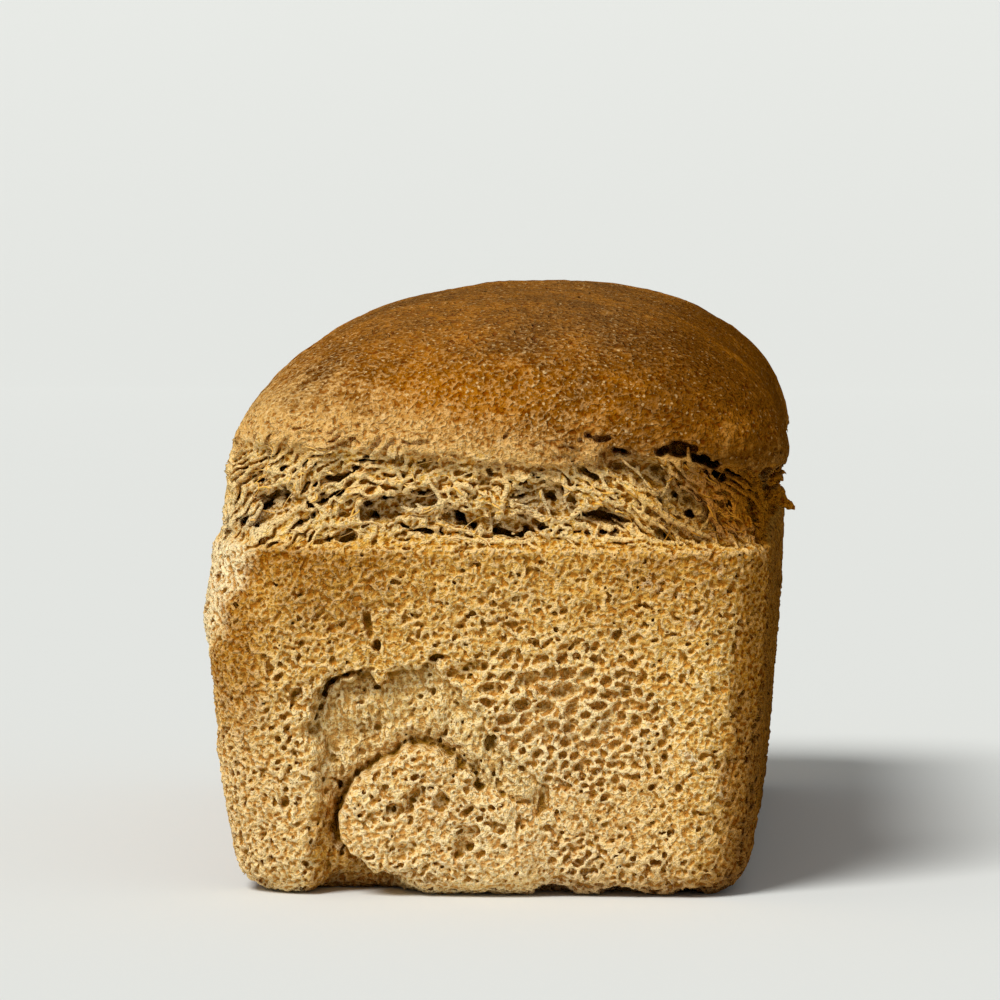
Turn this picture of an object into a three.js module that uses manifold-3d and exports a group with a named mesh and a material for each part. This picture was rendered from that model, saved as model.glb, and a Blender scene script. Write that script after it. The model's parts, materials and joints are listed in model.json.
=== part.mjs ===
// A wholemeal tin loaf: the lower part has the form of its tin, the dough burst open above the tin's rim on all
// sides, and a domed crust sits on the torn band. Its front end shows the rolled-up dough: an arch-shaped window
// where the roll pulled apart, round a lobe that runs down to the base.
//
// Millimetres. +X is right, +Y is back and +Z is up. The origin is on the base, under the middle of the loaf,
// and the front end faces -Y.
import * as THREE from "three";
import { mergeVertices } from "three/addons/utils/BufferGeometryUtils.js";
import Module from "manifold-3d";

const wasm = await Module();
wasm.setup();

// The tin's inside, which gives the lower part its form.
const TIN = { rimWidth: 114, rimLength: 216, depth: 70, flare: 6, corner: 13, baseEdge: 9, slackFrom: 44 };

// The domed top crust. It sits on the torn band, and leans a little to the right.
const DOME = {
  foot: 84, // height where its sides stand upright
  crest: 121,
  left: 57.5, // reach to either side of the crest
  right: 55,
  lean: 3.5, // how far the crest is right of the middle
  end: 108.5, // reach to the front and the back
  sideRound: 2.15, // exponents of its cross-section and of its long section
  endRound: 3.1,
};

// The torn band between the tin's rim and the crust's lip.
const BAND = { low: 71, high: 90, recess: 2.3, crag: 1.3 };

const CREAM = 0xc69a5b;

const clamp01 = (t) => Math.min(1, Math.max(0, t));
const smoothStep = (low, high, t) => {
  const s = clamp01((t - low) / (high - low));
  return s * s * (3 - 2 * s);
};
const lerp = THREE.MathUtils.lerp;

// The larger of two distances, with the edge between them rounded.
function roundMax(a, b, radius) {
  const h = Math.max(radius - Math.abs(a - b), 0) / radius;
  return Math.max(a, b) + (h * h * radius) / 4;
}

// Distance from a point to a rectangle with round corners. Negative inside.
function roundRectangle(x, y, halfX, halfY, corner) {
  const dx = Math.abs(x) - halfX + corner;
  const dy = Math.abs(y) - halfY + corner;
  return Math.hypot(Math.max(dx, 0), Math.max(dy, 0)) + Math.min(Math.max(dx, dy), 0) - corner;
}

// Slow unevenness, as dough that rose more in some places than in others.
function uneven(x, y, z) {
  return (
    0.7 * Math.sin(0.061 * x + 0.043 * z + 1.3) * Math.sin(0.037 * y + 0.4) +
    0.5 * Math.sin(0.093 * y + 0.051 * z + 2.1) +
    0.4 * Math.sin(0.131 * x - 0.071 * y + 0.6)
  );
}

// Crags of the torn band: layers that lie along it, broken up every few centimetres.
function crag(x, y, z) {
  const layers = Math.sin(0.85 * z + 2.2 * Math.sin(0.11 * x + 0.6) + 2.4 * Math.sin(0.083 * y));
  return layers * (0.7 + 0.5 * Math.sin(0.29 * x + 0.23 * y)) + 0.5 * Math.sin(0.37 * (x - y) + 0.31 * z);
}

// How much a height lies in the torn band, from 0 to 1. The crust's lip is higher at the right of the front end.
function inBand(x, y, z) {
  const lip = BAND.high + 2 * Math.sin(0.045 * x + 0.6) * Math.cos(0.03 * y);
  return smoothStep(BAND.low - 1, BAND.low + 1.5, z) * (1 - smoothStep(lip - 2.5, lip + 1, z));
}

// Distance to the loaf's walls at a height: the tin's slanting sides, then the free dough above the rim.
// The dough never filled the upper part of the tin's front left corner, so that corner is rounder there.
function walls(x, y, z) {
  const up = clamp01(z / TIN.depth);
  const spilled = smoothStep(TIN.depth, DOME.foot, z);
  const halfX = TIN.rimWidth / 2 - TIN.flare * (1 - up) + 1.2 * spilled;
  const halfY = TIN.rimLength / 2 - TIN.flare * (1 - up) + 0.5 * spilled;
  const slack = x < 0 && y < 0 ? smoothStep(TIN.slackFrom, TIN.depth, z) : 0;
  const corner = lerp(TIN.corner, 2 * TIN.corner, Math.max(spilled, slack));
  const centre = 1.5 * spilled;
  const belly = 1.3 * Math.sin(Math.PI * up) * Math.cos((Math.PI * y) / TIN.rimLength);
  return roundRectangle(x - centre, y, halfX + belly, halfY, corner);
}

// Height of the dome over a point of the plan.
function domeHeight(x, y) {
  const side = (x - DOME.lean) / (x > DOME.lean ? DOME.right : DOME.left);
  const across = Math.pow(1 - Math.pow(Math.min(Math.abs(side), 1), DOME.sideRound), 1 / DOME.sideRound);
  const along = Math.pow(1 - Math.pow(Math.min(Math.abs(y) / DOME.end, 1), DOME.endRound), 1 / DOME.endRound);
  return DOME.foot + (DOME.crest - DOME.foot) * across * along;
}

// The loaf as a field that is negative inside it and 0 on its surface.
function loafField(x, y, z) {
  const torn = inBand(x, y, z);
  const relief = torn * (BAND.recess + BAND.crag * crag(x, y, z)) - 0.6 * uneven(x, y, z);
  const side = walls(x, y, z) + relief * smoothStep(0, 20, z);
  const top = z - domeHeight(x, y) - 0.6 * uneven(x, y, z);
  return roundMax(roundMax(side, top, 7), -z, TIN.baseEdge);
}

// A box whose vertices are moved, each along its own ray, to where the loaf's field is 0.
function loafSkin() {
  const columns = { x: 18, y: 22, z: 26 };
  const core = new THREE.Vector3(26, 76, 18);
  const shell = new THREE.Vector3(75, 128, 95);
  const middle = 46;
  const box = new THREE.BoxGeometry(2, 2, 2, columns.x, columns.y, columns.z);
  box.deleteAttribute("normal");
  box.deleteAttribute("uv");
  const skin = mergeVertices(box, 1e-4);
  const place = skin.attributes.position;
  const inner = new THREE.Vector3();
  const outer = new THREE.Vector3();
  const found = new THREE.Vector3();
  for (let i = 0; i < place.count; i++) {
    outer.fromBufferAttribute(place, i);
    outer.z = rowHeight(outer.z);
    inner.copy(outer).multiply(core);
    outer.multiply(shell);
    inner.z += middle;
    outer.z += middle;
    let low = 0;
    let high = 1;
    for (let step = 0; step < 40; step++) {
      const half = (low + high) / 2;
      found.lerpVectors(inner, outer, half);
      if (loafField(found.x, found.y, found.z) < 0) low = half;
      else high = half;
    }
    found.lerpVectors(inner, outer, low);
    if (Math.abs(found.z) < 1e-3) found.z = 0;
    place.setXYZ(i, found.x, found.y, found.z);
  }
  return skin;
}

// Crowds the box's rows of vertices into the torn band: from the rows' even spread to their heights, both from
// -1 to 1, with the base, the base edge, the rim and the lip at the stops in between.
const ROW_STOPS = [[-1, -1], [-0.92, -0.75], [-0.7, -0.55], [-0.42, 0.33], [0.5, 0.72], [1, 1]];

function rowHeight(row) {
  const above = ROW_STOPS.findIndex(([from], i) => i > 0 && row <= from + 1e-6);
  const [low, lowHeight] = ROW_STOPS[above - 1];
  const [high, highHeight] = ROW_STOPS[above];
  return lerp(lowHeight, highHeight, (row - low) / (high - low));
}

// A closed mesh as a solid.
function solidFrom(geometry) {
  const bare = geometry.clone();
  for (const name of ["normal", "uv"]) if (bare.getAttribute(name)) bare.deleteAttribute(name);
  const merged = mergeVertices(bare, 1e-4);
  return new wasm.Manifold(
    new wasm.Mesh({
      numProp: 3,
      vertProperties: new Float32Array(merged.attributes.position.array),
      triVerts: new Uint32Array(merged.index.array),
    }),
  );
}

// The geometry of a solid.
function geometryOf(solid) {
  const mesh = solid.getMesh();
  const geometry = new THREE.BufferGeometry();
  geometry.setAttribute("position", new THREE.BufferAttribute(mesh.vertProperties, 3));
  geometry.setIndex(new THREE.BufferAttribute(mesh.triVerts, 1));
  geometry.computeVertexNormals();
  return geometry;
}

// An outline on the front end, as a prism that reaches from in front of the loaf to a depth inside it.
// The front end leans outwards with the tin, and so does the prism.
function frontPrism(points, depth) {
  const reach = 12;
  const outline = new THREE.Shape(new THREE.SplineCurve(points).getPoints(points.length * 2));
  const prism = new THREE.ExtrudeGeometry(outline, { depth: reach + depth, bevelEnabled: false, steps: 1 });
  prism.rotateX(Math.PI / 2);
  prism.applyMatrix4(
    new THREE.Matrix4().makeShear(0, 0, 0, 0, 0, -TIN.flare / TIN.depth),
  );
  prism.translate(0, -TIN.rimLength / 2 + TIN.flare + depth, 0);
  return solidFrom(prism);
}

const at = (x, z) => new THREE.Vector2(x, z);

// The window where the roll pulled apart: up the left of the lobe, over its top and down to the right.
const WINDOW = [
  at(-33.5, 5), at(-35.5, 17), at(-36, 32), at(-34.8, 42), at(-29, 44), at(-23.5, 46), at(-16, 45.5),
  at(-9, 48), at(-5, 42), at(1, 34), at(6, 26), at(11.5, 19.5), at(14, 12), at(10, 14.5), at(4, 18),
  at(-2, 20.5), at(-8, 25.5), at(-14.5, 29.5), at(-20, 27.5), at(-25.5, 23), at(-29.5, 17), at(-29.5, 11),
  at(-27, 6), at(-22, 2), at(-20, -4), at(-30, -4),
];

// A stretched, rounded hollow or lump: where it is, its half length, half height and half depth, and its tilt.
function lens(x, y, z, turn, tilt, length, height, depth) {
  const ball = new THREE.SphereGeometry(1, 7, 5);
  ball.scale(length, depth, height);
  ball.rotateY(-tilt);
  ball.rotateZ(turn);
  ball.translate(x, y, z);
  return solidFrom(ball);
}

// The wide gaps in the torn band of the front end: [x, z, half length, half height, half depth, tilt].
const FRONT_GAPS = [
  [-43.5, 79.5, 8.5, 1.8, 6, 0.5],
  [-30.5, 85, 6, 1.5, 5.5, 0.4],
  [-18, 79, 8, 2.3, 5, -0.2],
  [-3, 74.3, 13, 1.6, 7, 0],
  [10, 84, 5, 2.6, 5, 0.5],
  [23.5, 77.5, 5, 1.7, 6, -0.1],
  [27, 88.5, 4.5, 2.6, 5.5, 0.6],
  [41.5, 90.3, 5.5, 2.2, 8, -0.45],
  [41, 78.5, 6, 2.6, 4.5, -0.7],
  [50, 85, 5, 1.3, 5, -0.35],
];

// Random numbers from 0 to 1 that are the same on each run.
function dice(seed) {
  let state = seed;
  return () => {
    state = (Math.imul(state, 1664525) + 1013904223) >>> 0;
    return state / 2 ** 32;
  };
}

// A place on the loaf's skin at a height. It is found from the way round the loaf: -1 at the middle of the front
// end, through the right side and the back, to 1 at the middle of the front end again.
function skinAt(way, z) {
  const angle = Math.PI * (way - 0.5);
  const reach = new THREE.Vector2(Math.cos(angle), Math.sin(angle));
  const stretch = TIN.rimLength / TIN.rimWidth;
  let low = 0;
  let high = 2 * TIN.rimWidth;
  for (let step = 0; step < 30; step++) {
    const half = (low + high) / 2;
    if (loafField(half * reach.x, half * stretch * reach.y, z) < 0) low = half;
    else high = half;
  }
  const x = low * reach.x;
  const y = low * stretch * reach.y;
  const step = 3;
  const outX = walls(x + step, y, z) - walls(x - step, y, z);
  const outY = walls(x, y + step, z) - walls(x, y - step, z);
  return { x, y, turn: Math.atan2(outY, outX) + Math.PI / 2, atFront: outY < -Math.abs(outX) };
}

// Lenses spread round the torn band, at the skin: the gaps are cut out and the ragged flakes are added.
function* bandLenses({ count, seed, low, high, length, height, depth, tilt, skipsFront }) {
  const roll = dice(seed);
  for (let i = 0; i < count; i++) {
    const way = ((i + 0.2 + 0.6 * roll()) / count) * 2 - 1;
    const z = lerp(low, high, roll());
    const skin = skinAt(way, z);
    const half = lerp(length[0], length[1], roll());
    const thick = lerp(height[0], height[1], roll());
    const lean = tilt * (2 * roll() - 1);
    if (skipsFront && skin.atFront) continue;
    yield lens(skin.x, skin.y, z, skin.turn, lean, half, thick, depth);
  }
}

const GAPS = {
  count: 26, seed: 5, low: 74, high: 87, length: [5, 12], height: [1.2, 2.2], depth: 4.5, tilt: 0.4, skipsFront: true,
};
const FLAKES = {
  count: 22, seed: 11, low: 76, high: 91, length: [3, 7], height: [0.8, 1.3], depth: 2.2, tilt: 0.5, skipsFront: false,
};

// The arched notches under the front end's base edge: [middle, half width].
const NOTCHES = [
  [-23.5, 5], [14, 4.8], [27.5, 4.6], [41.5, 3.6],
];

function notch(x, halfWidth) {
  const arch = new THREE.CylinderGeometry(1, 1, 26, 10);
  arch.scale(halfWidth, 1, 2);
  arch.translate(x, -TIN.rimLength / 2 + 6, 0);
  return solidFrom(arch);
}

// Large bubbles that burst at the tin's wall, on the front end: hollows a few millimetres wide that lean to the
// right. The window and most of the lobe have none.
function* frontBubbles() {
  const roll = dice(3);
  let left = 26;
  while (left > 0) {
    const x = lerp(-47, 48, roll());
    const z = lerp(7, 62, roll());
    const length = lerp(1.2, 2.4, roll());
    const tilt = lerp(-0.3, 1, roll());
    const fromLobe = Math.hypot(x + 13, z - 22);
    if (fromLobe < 27) continue;
    const y = -TIN.rimLength / 2 + TIN.flare * (1 - z / TIN.depth) - 0.2;
    yield lens(x, y, z, 0, tilt, length, 1.1, 2);
    left -= 1;
  }
}

function loafSolid() {
  let solid = solidFrom(loafSkin());
  for (const flake of bandLenses(FLAKES)) solid = solid.add(flake);
  const hollows = [
    frontPrism(WINDOW, 4.2),
    ...FRONT_GAPS.map(([x, z, length, height, depth, tilt]) =>
      lens(x, -TIN.rimLength / 2 + 3, z, 0, tilt, length, height, depth),
    ),
    ...bandLenses(GAPS),
    ...NOTCHES.map(([x, halfWidth]) => notch(x, halfWidth)),
    ...frontBubbles(),
  ];
  for (const hollow of hollows) solid = solid.subtract(hollow);
  const largest = solid.decompose().sort((a, b) => b.volume() - a.volume())[0];
  return largest;
}

const loaf = new THREE.Mesh(
  geometryOf(loafSolid()),
  new THREE.MeshStandardMaterial({ color: CREAM, roughness: 0.85, metalness: 0 }),
);
loaf.name = "loaf";

const group = new THREE.Group();
group.add(loaf);

export default group;
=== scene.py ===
"""A wholemeal tin loaf, dressed: meshes grown from one distance field, with the crust, torn band, pores and
the roll's window as real relief, and fine threads of torn dough on the band.

Lengths in the settings are metres. The field works in millimetres, in the model's own frame: +X right,
+Y back, +Z up, the base at 0 and the front end facing -Y.
"""

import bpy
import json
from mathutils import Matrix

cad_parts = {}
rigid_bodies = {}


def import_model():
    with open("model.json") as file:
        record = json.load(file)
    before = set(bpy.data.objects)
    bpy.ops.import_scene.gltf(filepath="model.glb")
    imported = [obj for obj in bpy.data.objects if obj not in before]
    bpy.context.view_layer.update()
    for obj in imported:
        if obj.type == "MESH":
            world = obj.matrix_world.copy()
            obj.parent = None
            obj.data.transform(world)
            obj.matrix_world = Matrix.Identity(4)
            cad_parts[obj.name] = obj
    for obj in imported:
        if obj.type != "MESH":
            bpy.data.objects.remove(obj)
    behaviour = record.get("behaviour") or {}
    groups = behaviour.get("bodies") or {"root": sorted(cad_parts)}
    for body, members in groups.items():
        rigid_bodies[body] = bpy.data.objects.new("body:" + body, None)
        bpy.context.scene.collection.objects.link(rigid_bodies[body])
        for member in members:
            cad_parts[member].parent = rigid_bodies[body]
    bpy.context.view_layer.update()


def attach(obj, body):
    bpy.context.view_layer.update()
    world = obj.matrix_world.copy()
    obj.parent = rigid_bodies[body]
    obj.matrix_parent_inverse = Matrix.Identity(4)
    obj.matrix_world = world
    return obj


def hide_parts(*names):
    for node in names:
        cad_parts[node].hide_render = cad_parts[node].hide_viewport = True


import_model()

import json
import math
from concurrent.futures import ThreadPoolExecutor

import bpy
import numpy as np
import openvdb
from mathutils import Vector
from mathutils.bvhtree import BVHTree

bl_info = {
    "name": "Tin Loaf",
    "version": (1, 0, 0),
    "blender": (4, 5, 0),
    "location": "3D View > Sidebar > Loaf",
    "description": "Makes a wholemeal tin loaf with its crust, torn band, pores and threads",
    "category": "Add Mesh",
}

MM = 1000.0  # millimetres in a metre
WORKERS = 4  # threads that share the heavy sums


# ------------------------------------------------------------ settings


def length(text, default, about):
    return bpy.props.FloatProperty(name=text, default=default, unit="LENGTH", precision=4, description=about)


def angle(text, degrees, about):
    default = math.radians(degrees)
    return bpy.props.FloatProperty(name=text, default=default, subtype="ANGLE", description=about)


def amount(text, default, about):
    return bpy.props.FloatProperty(name=text, default=default, description=about)


def count(text, default, about):
    return bpy.props.IntProperty(name=text, default=default, description=about)


def colour(text, default, about):
    return bpy.props.FloatVectorProperty(
        name=text, default=default, size=3, min=0, max=1, subtype="COLOR", description=about
    )


class LoafForm(bpy.types.PropertyGroup):
    """The loaf's plain form, as its tin and its oven spring gave it."""

    rim_width: length("Rim width", 0.114, "Width at the tin's rim")
    rim_length: length("Rim length", 0.216, "Length at the tin's rim")
    tin_depth: length("Tin depth", 0.070, "Height of the tin's rim")
    flare: length("Flare", 0.006, "How far each wall leans out from base to rim")
    corner: length("Corner", 0.013, "Radius of the upright corners")
    base_edge: length("Base edge", 0.009, "How widely the base edge is rounded")
    slack_from: length("Slack from", 0.044, "Height where the front left corner starts to leave the tin")
    foot: length("Dome foot", 0.084, "Height where the dome's sides stand upright")
    crest: length("Crest", 0.121, "Height of the dome's crest")
    reach_left: length("Reach left", 0.0565, "From the crest to the dome's left side")
    reach_right: length("Reach right", 0.0562, "From the crest to the dome's right side")
    lean: length("Lean", 0.0023, "How far the crest is right of the middle")
    reach_end: length("Reach to the ends", 0.1085, "From the middle to the dome's ends")
    band_low: length("Band foot", 0.071, "Height where the torn band starts")
    band_high: length("Band top", 0.090, "Height where the torn band meets the crust")
    recess: length("Recess", 0.0023, "How far the torn band lies behind the walls")


class LoafCrumb(bpy.types.PropertyGroup):
    """The relief on the plain form."""

    cell: length("Cell", 0.00032, "Spacing of the field's grid")
    coarse_cell: length("Coarse cell", 0.0011, "Spacing of the grid along the loaf, away from the front end")
    faces: count("Faces", 190000, "Triangles of each of the loaf's pieces")
    front_depth: length("Front depth", 0.020, "How far back the finer piece at the front end reaches")
    seed: count("Seed", 7, "Seed of every random draw")
    threads: count("Threads", 110, "Threads of torn dough that lie on the front end")


class LoafFinish(bpy.types.PropertyGroup):
    """The loaf's colours, with painted highlights and painted shade among them."""

    crust: colour("Crust", (0.45, 0.155, 0.003), "The dome's brown")
    # Real dark crust; the same colour also paints shade in deep hollows and on the darkened right side.
    crust_dark: colour("Dark crust", (0.15, 0.050, 0.002), "The dome's darkest brown")
    crust_gold: colour("Golden crust", (0.76, 0.44, 0.13), "The dome's lower edge")
    # The dome's pale specks are real; the same colour also paints highlights on the dome's grain and a sheen
    # along its crest.
    crust_pale: colour("Pale crust", (0.86, 0.61, 0.29), "The dome's bran specks")
    crumb: colour("Crumb", (0.99, 0.615, 0.155), "The dough's skin against the tin")
    crumb_warm: colour("Warm crumb", (0.72, 0.38, 0.058), "Patches of the skin that browned a little")
    # Real pale dough and torn edges; the same colour also paints highlights on raised grains and the rims of
    # pores.
    crumb_pale: colour("Pale crumb", (1.0, 0.84, 0.53), "Rims of pores and torn edges")
    crumb_baked: colour("Baked crumb", (0.43, 0.18, 0.012), "Browned patches and edges of the walls")
    inside: colour("Inside", (0.88, 0.65, 0.27), "The roll's inside, in the window")
    # Painted shade for the inside of small pores, laid on by how sheltered each place is.
    nook: colour("Nook", (0.50, 0.235, 0.025), "The inside of small pores")
    torn: colour("Torn crumb", (0.92, 0.53, 0.09), "The torn band's flakes")
    # Painted shade for the floors of wide hollows.
    sunk: colour("Sunk crumb", (0.50, 0.27, 0.05), "The floors of the torn band's wide hollows")
    flour: colour("Flour", (0.80, 0.67, 0.47), "Patches where the skin stayed pale")
    # Painted shade for the depths of tears and wide pores.
    hollow: colour("Hollow", (0.27, 0.125, 0.008), "The depths of tears and wide pores")


class StageLook(bpy.types.PropertyGroup):
    """The floor, the lights and the camera."""

    floor: colour("Floor", (0.785, 0.81, 0.80), "The pale floor and backdrop")
    key: amount("Key light", 2.75, "Strength of the key light")
    key_side: angle("Key side", 32, "Key light's way to the left")
    key_height: angle("Key height", 50, "Key light's height")
    softness: angle("Softness", 24, "How broad the key light is")
    fill: amount("Fill", 0.30, "Strength of the even light all round")
    bend: length("Bend", 1.5, "Radius of the curve between the floor and the wall")
    azimuth: angle("Azimuth", 3.93, "Camera's way round the loaf")
    distance: length("Distance", 1.1, "From the camera to the front end")
    eye: length("Eye height", 0.1514, "Height of the camera")


# ------------------------------------------------------------ the plain form


def ramp(low, high, t):
    """0 at low and 1 at high, with a smooth rise between. Falls where high is under low."""
    s = np.clip((t - low) / (high - low), 0, 1)
    return s * s * (3 - 2 * s)


def bell(*distances):
    """1 in the middle of a bump, and less with distances from there, each in its own half widths."""
    return np.exp(-sum(distance * distance for distance in distances))


def round_max(a, b, radius):
    """The larger of two distances, with the edge between them rounded."""
    h = np.maximum(radius - np.abs(a - b), 0) / radius
    return np.maximum(a, b) + h * h * (radius / 4)


class Form:
    """The plain loaf as a field in millimetres, negative inside it."""

    SIDE_ROUND = 2.15  # power of the dome's curve from side to side, where 2 is an ellipse
    END_ROUND = 3.1  # and from end to end
    SPILL = (0.3, 0.5)  # how far the dough over the rim stands out, at the sides and at the ends
    SHOULDER = 7  # radius between the walls and the dome
    UNEVEN = 0.6  # share of the slow unevenness that the skin has

    def __init__(self, settings):
        for name in settings.__annotations__:
            setattr(self, name, getattr(settings, name) * MM)

    def uneven(self, x, y, z):
        """Slow unevenness, as dough that rose more in some places than in others."""
        return (
            0.7 * np.sin(0.061 * x + 0.043 * z + 1.3) * np.sin(0.037 * y + 0.4)
            + 0.5 * np.sin(0.093 * y + 0.051 * z + 2.1)
            + 0.4 * np.sin(0.131 * x - 0.071 * y + 0.6)
        )

    def walls(self, x, y, z):
        """Distance to the tin's slanting sides and the free dough above the rim."""
        up = np.clip(z / self.tin_depth, 0, 1)
        spilled = ramp(self.tin_depth, self.foot, z)
        half_x = self.rim_width / 2 - self.flare * (1 - up) + self.SPILL[0] * spilled
        # Near the front the left wall swells, and the dome hangs over the rim on the right.
        left = 2.0 * bell((z - 57) / 9) * ramp(0, -70, y) + 0.9 * bell((z - 28) / 12)
        right = 3.0 * bell((z - 92) / 5.5) * ramp(-30, -80, y) + 1.1 * (1 - up)
        half_x = half_x + np.where(x < 0, left, right)
        half_y = self.rim_length / 2 - self.flare * (1 - up) + self.SPILL[1] * spilled
        slack = ((x < 0) & (y < 0)) * ramp(self.slack_from, self.tin_depth, z)
        corner = self.corner * (1 + np.maximum(spilled, slack))
        belly = 1.3 * np.sin(math.pi * up) * np.cos(math.pi * y / self.rim_length)
        dx = np.abs(x - 1.5 * spilled) - half_x - belly + corner
        dy = np.abs(y) - half_y + corner
        return np.hypot(np.maximum(dx, 0), np.maximum(dy, 0)) + np.minimum(np.maximum(dx, dy), 0) - corner

    def dome(self, x, y):
        """Height of the dome over a point of the plan."""
        aside = x - self.lean
        reach_right = self.reach_right + 3.2 * ramp(-30, -80, y)
        side = np.minimum(np.abs(aside) / np.where(aside > 0, reach_right, self.reach_left), 1)
        end = np.minimum(np.abs(y) / self.reach_end, 1)
        bulge = self.SIDE_ROUND + np.where(aside > 0, 0.2, 0)
        across = (1 - side**bulge) ** (1 / bulge)
        along = (1 - end**self.END_ROUND) ** (1 / self.END_ROUND)
        return self.foot + (self.crest - self.foot) * across * along

    def lip(self, x, y):
        """Height of the crust's lip, over the torn band."""
        return self.band_high + 2 * np.sin(0.045 * x + 0.6) * np.cos(0.03 * y) - 3.5 * ramp(42, 56, x)

    def torn(self, x, y, z):
        """How much a point lies in the torn band, from 0 to 1."""
        lip = self.lip(x, y)
        return ramp(self.band_low - 1, self.band_low + 1.5, z) * (1 - ramp(lip - 2.5, lip + 1, z))

    def skin(self, x, y, z):
        """The plain form, with the torn band set back by the recess, but less at the front left corner."""
        uneven = self.UNEVEN * self.uneven(x, y, z)
        recess = self.recess * (1 - 0.4 * ramp(-42, -53, x) * ramp(-50, -90, y))
        side = self.walls(x, y, z) + (self.torn(x, y, z) * recess - uneven) * ramp(0, 20, z)
        top = z - self.dome(x, y) - uneven
        return round_max(round_max(side, top, self.SHOULDER), -z, self.base_edge)

    def normal(self, x, y, z, step=0.5):
        """The field's slope, as three arrays of the unit normal and its steepness."""
        gx = self.skin(x + step, y, z) - self.skin(x - step, y, z)
        gy = self.skin(x, y + step, z) - self.skin(x, y - step, z)
        gz = self.skin(x, y, z + step) - self.skin(x, y, z - step)
        steep = np.sqrt(gx * gx + gy * gy + gz * gz) + 1e-9
        return gx / steep, gy / steep, gz / steep, steep / (2 * step)

    def front(self, z):
        """Where the front end's plane is, at a height."""
        up = np.clip(z / self.tin_depth, 0, 1)
        return -self.rim_length / 2 + self.flare * (1 - up)


class Noise:
    """Smooth random values from -1 to 1, from a repeating lattice of seeded numbers.

    The lattice is turned, so that its rows don't show on the loaf's flat sides.
    """

    BITS = 6
    TURN = ((0.6, -0.64, 0.48), (0.8, 0.48, -0.36), (0.0, 0.6, 0.8))

    def __init__(self, seed):
        side = 1 << self.BITS
        self.values = np.random.default_rng(seed).uniform(-1, 1, side**3).astype(np.float32)

    def __call__(self, x, y, z):
        mask = (1 << self.BITS) - 1
        lows, highs, shares = [], [], []
        x, y, z = (np.asarray(place, np.float32) for place in (x, y, z))
        for axis, (along_x, along_y, along_z) in enumerate(self.TURN):
            place = along_x * x + along_y * y + along_z * z
            whole = np.floor(place)
            share = place - whole
            shares.append(share * share * (3 - 2 * share))
            whole = whole.astype(np.int32)
            shift = self.BITS * (2 - axis)
            lows.append((whole & mask) << shift)
            highs.append(((whole + 1) & mask) << shift)
        sx, sy, sz = shares
        found = 0
        for pick_x, weight_x in ((lows[0], 1 - sx), (highs[0], sx)):
            for pick_y, weight_y in ((lows[1], 1 - sy), (highs[1], sy)):
                base = pick_x | pick_y
                low = self.values[base | lows[2]]
                high = self.values[base | highs[2]]
                found = found + weight_x * weight_y * (low + (high - low) * sz)
        return found


def in_chunks(work, *arrays, size=200000):
    """Calls work on slices of long arrays, side by side, and joins what comes back."""
    count = len(arrays[0])
    slices = [slice(i, i + size) for i in range(0, count, size)]
    with ThreadPoolExecutor(WORKERS) as pool:
        parts = list(pool.map(lambda part: work(*(a[part] for a in arrays)), slices))
    return np.concatenate(parts)


# ------------------------------------------------------------ the front end
# Places on the front end are (x, z) in millimetres. A noise over them has a middle number of its own.

# The roll's window, a closed outline.
WINDOW = [
    (-35.3, -4), (-35.8, 7.8), (-35.5, 15.5), (-34.5, 21.4), (-34.7, 27.2), (-36.3, 32), (-36.1, 35.9),
    (-33, 40.5), (-32.6, 43.9), (-29.1, 44.5), (-22.6, 46.6), (-21.5, 43.1), (-19.5, 44.3), (-17, 47.2),
    (-12.9, 47.8), (-9, 49.1), (-8, 44.7), (-5.1, 43), (-3.6, 40.8), (0.4, 37.6), (1, 34.6), (4.4, 31),
    (8.1, 28), (11.5, 24.9), (13, 20.9), (12.1, 16.5), (6.6, 11.6), (-5.1, 10.7), (-13.9, 5.8), (-17.8, -4),
]

# The window's upper left edge, which is undercut.
UNDERCUT = ((-33.5, 40.5), (-30.7, 42.9), (-20, 45.8))

# The lobe in the window, a closed outline.
LOBE = [
    (-29.1, 17.9), (-28.1, 21), (-23.9, 24.1), (-18.3, 28.5), (-15.2, 30.8), (-11.2, 30.6), (-7.2, 28.5),
    (-3.1, 25.5), (-1.1, 22.5), (3, 21.5), (6.4, 19.9), (10, 17.9), (12.5, 9.7), (12.5, -4), (-11.9, -4),
    (-13.4, 2.3), (-18.3, 4), (-22.3, 4.9), (-26.3, 8.3), (-28.2, 11.8),
]

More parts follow.
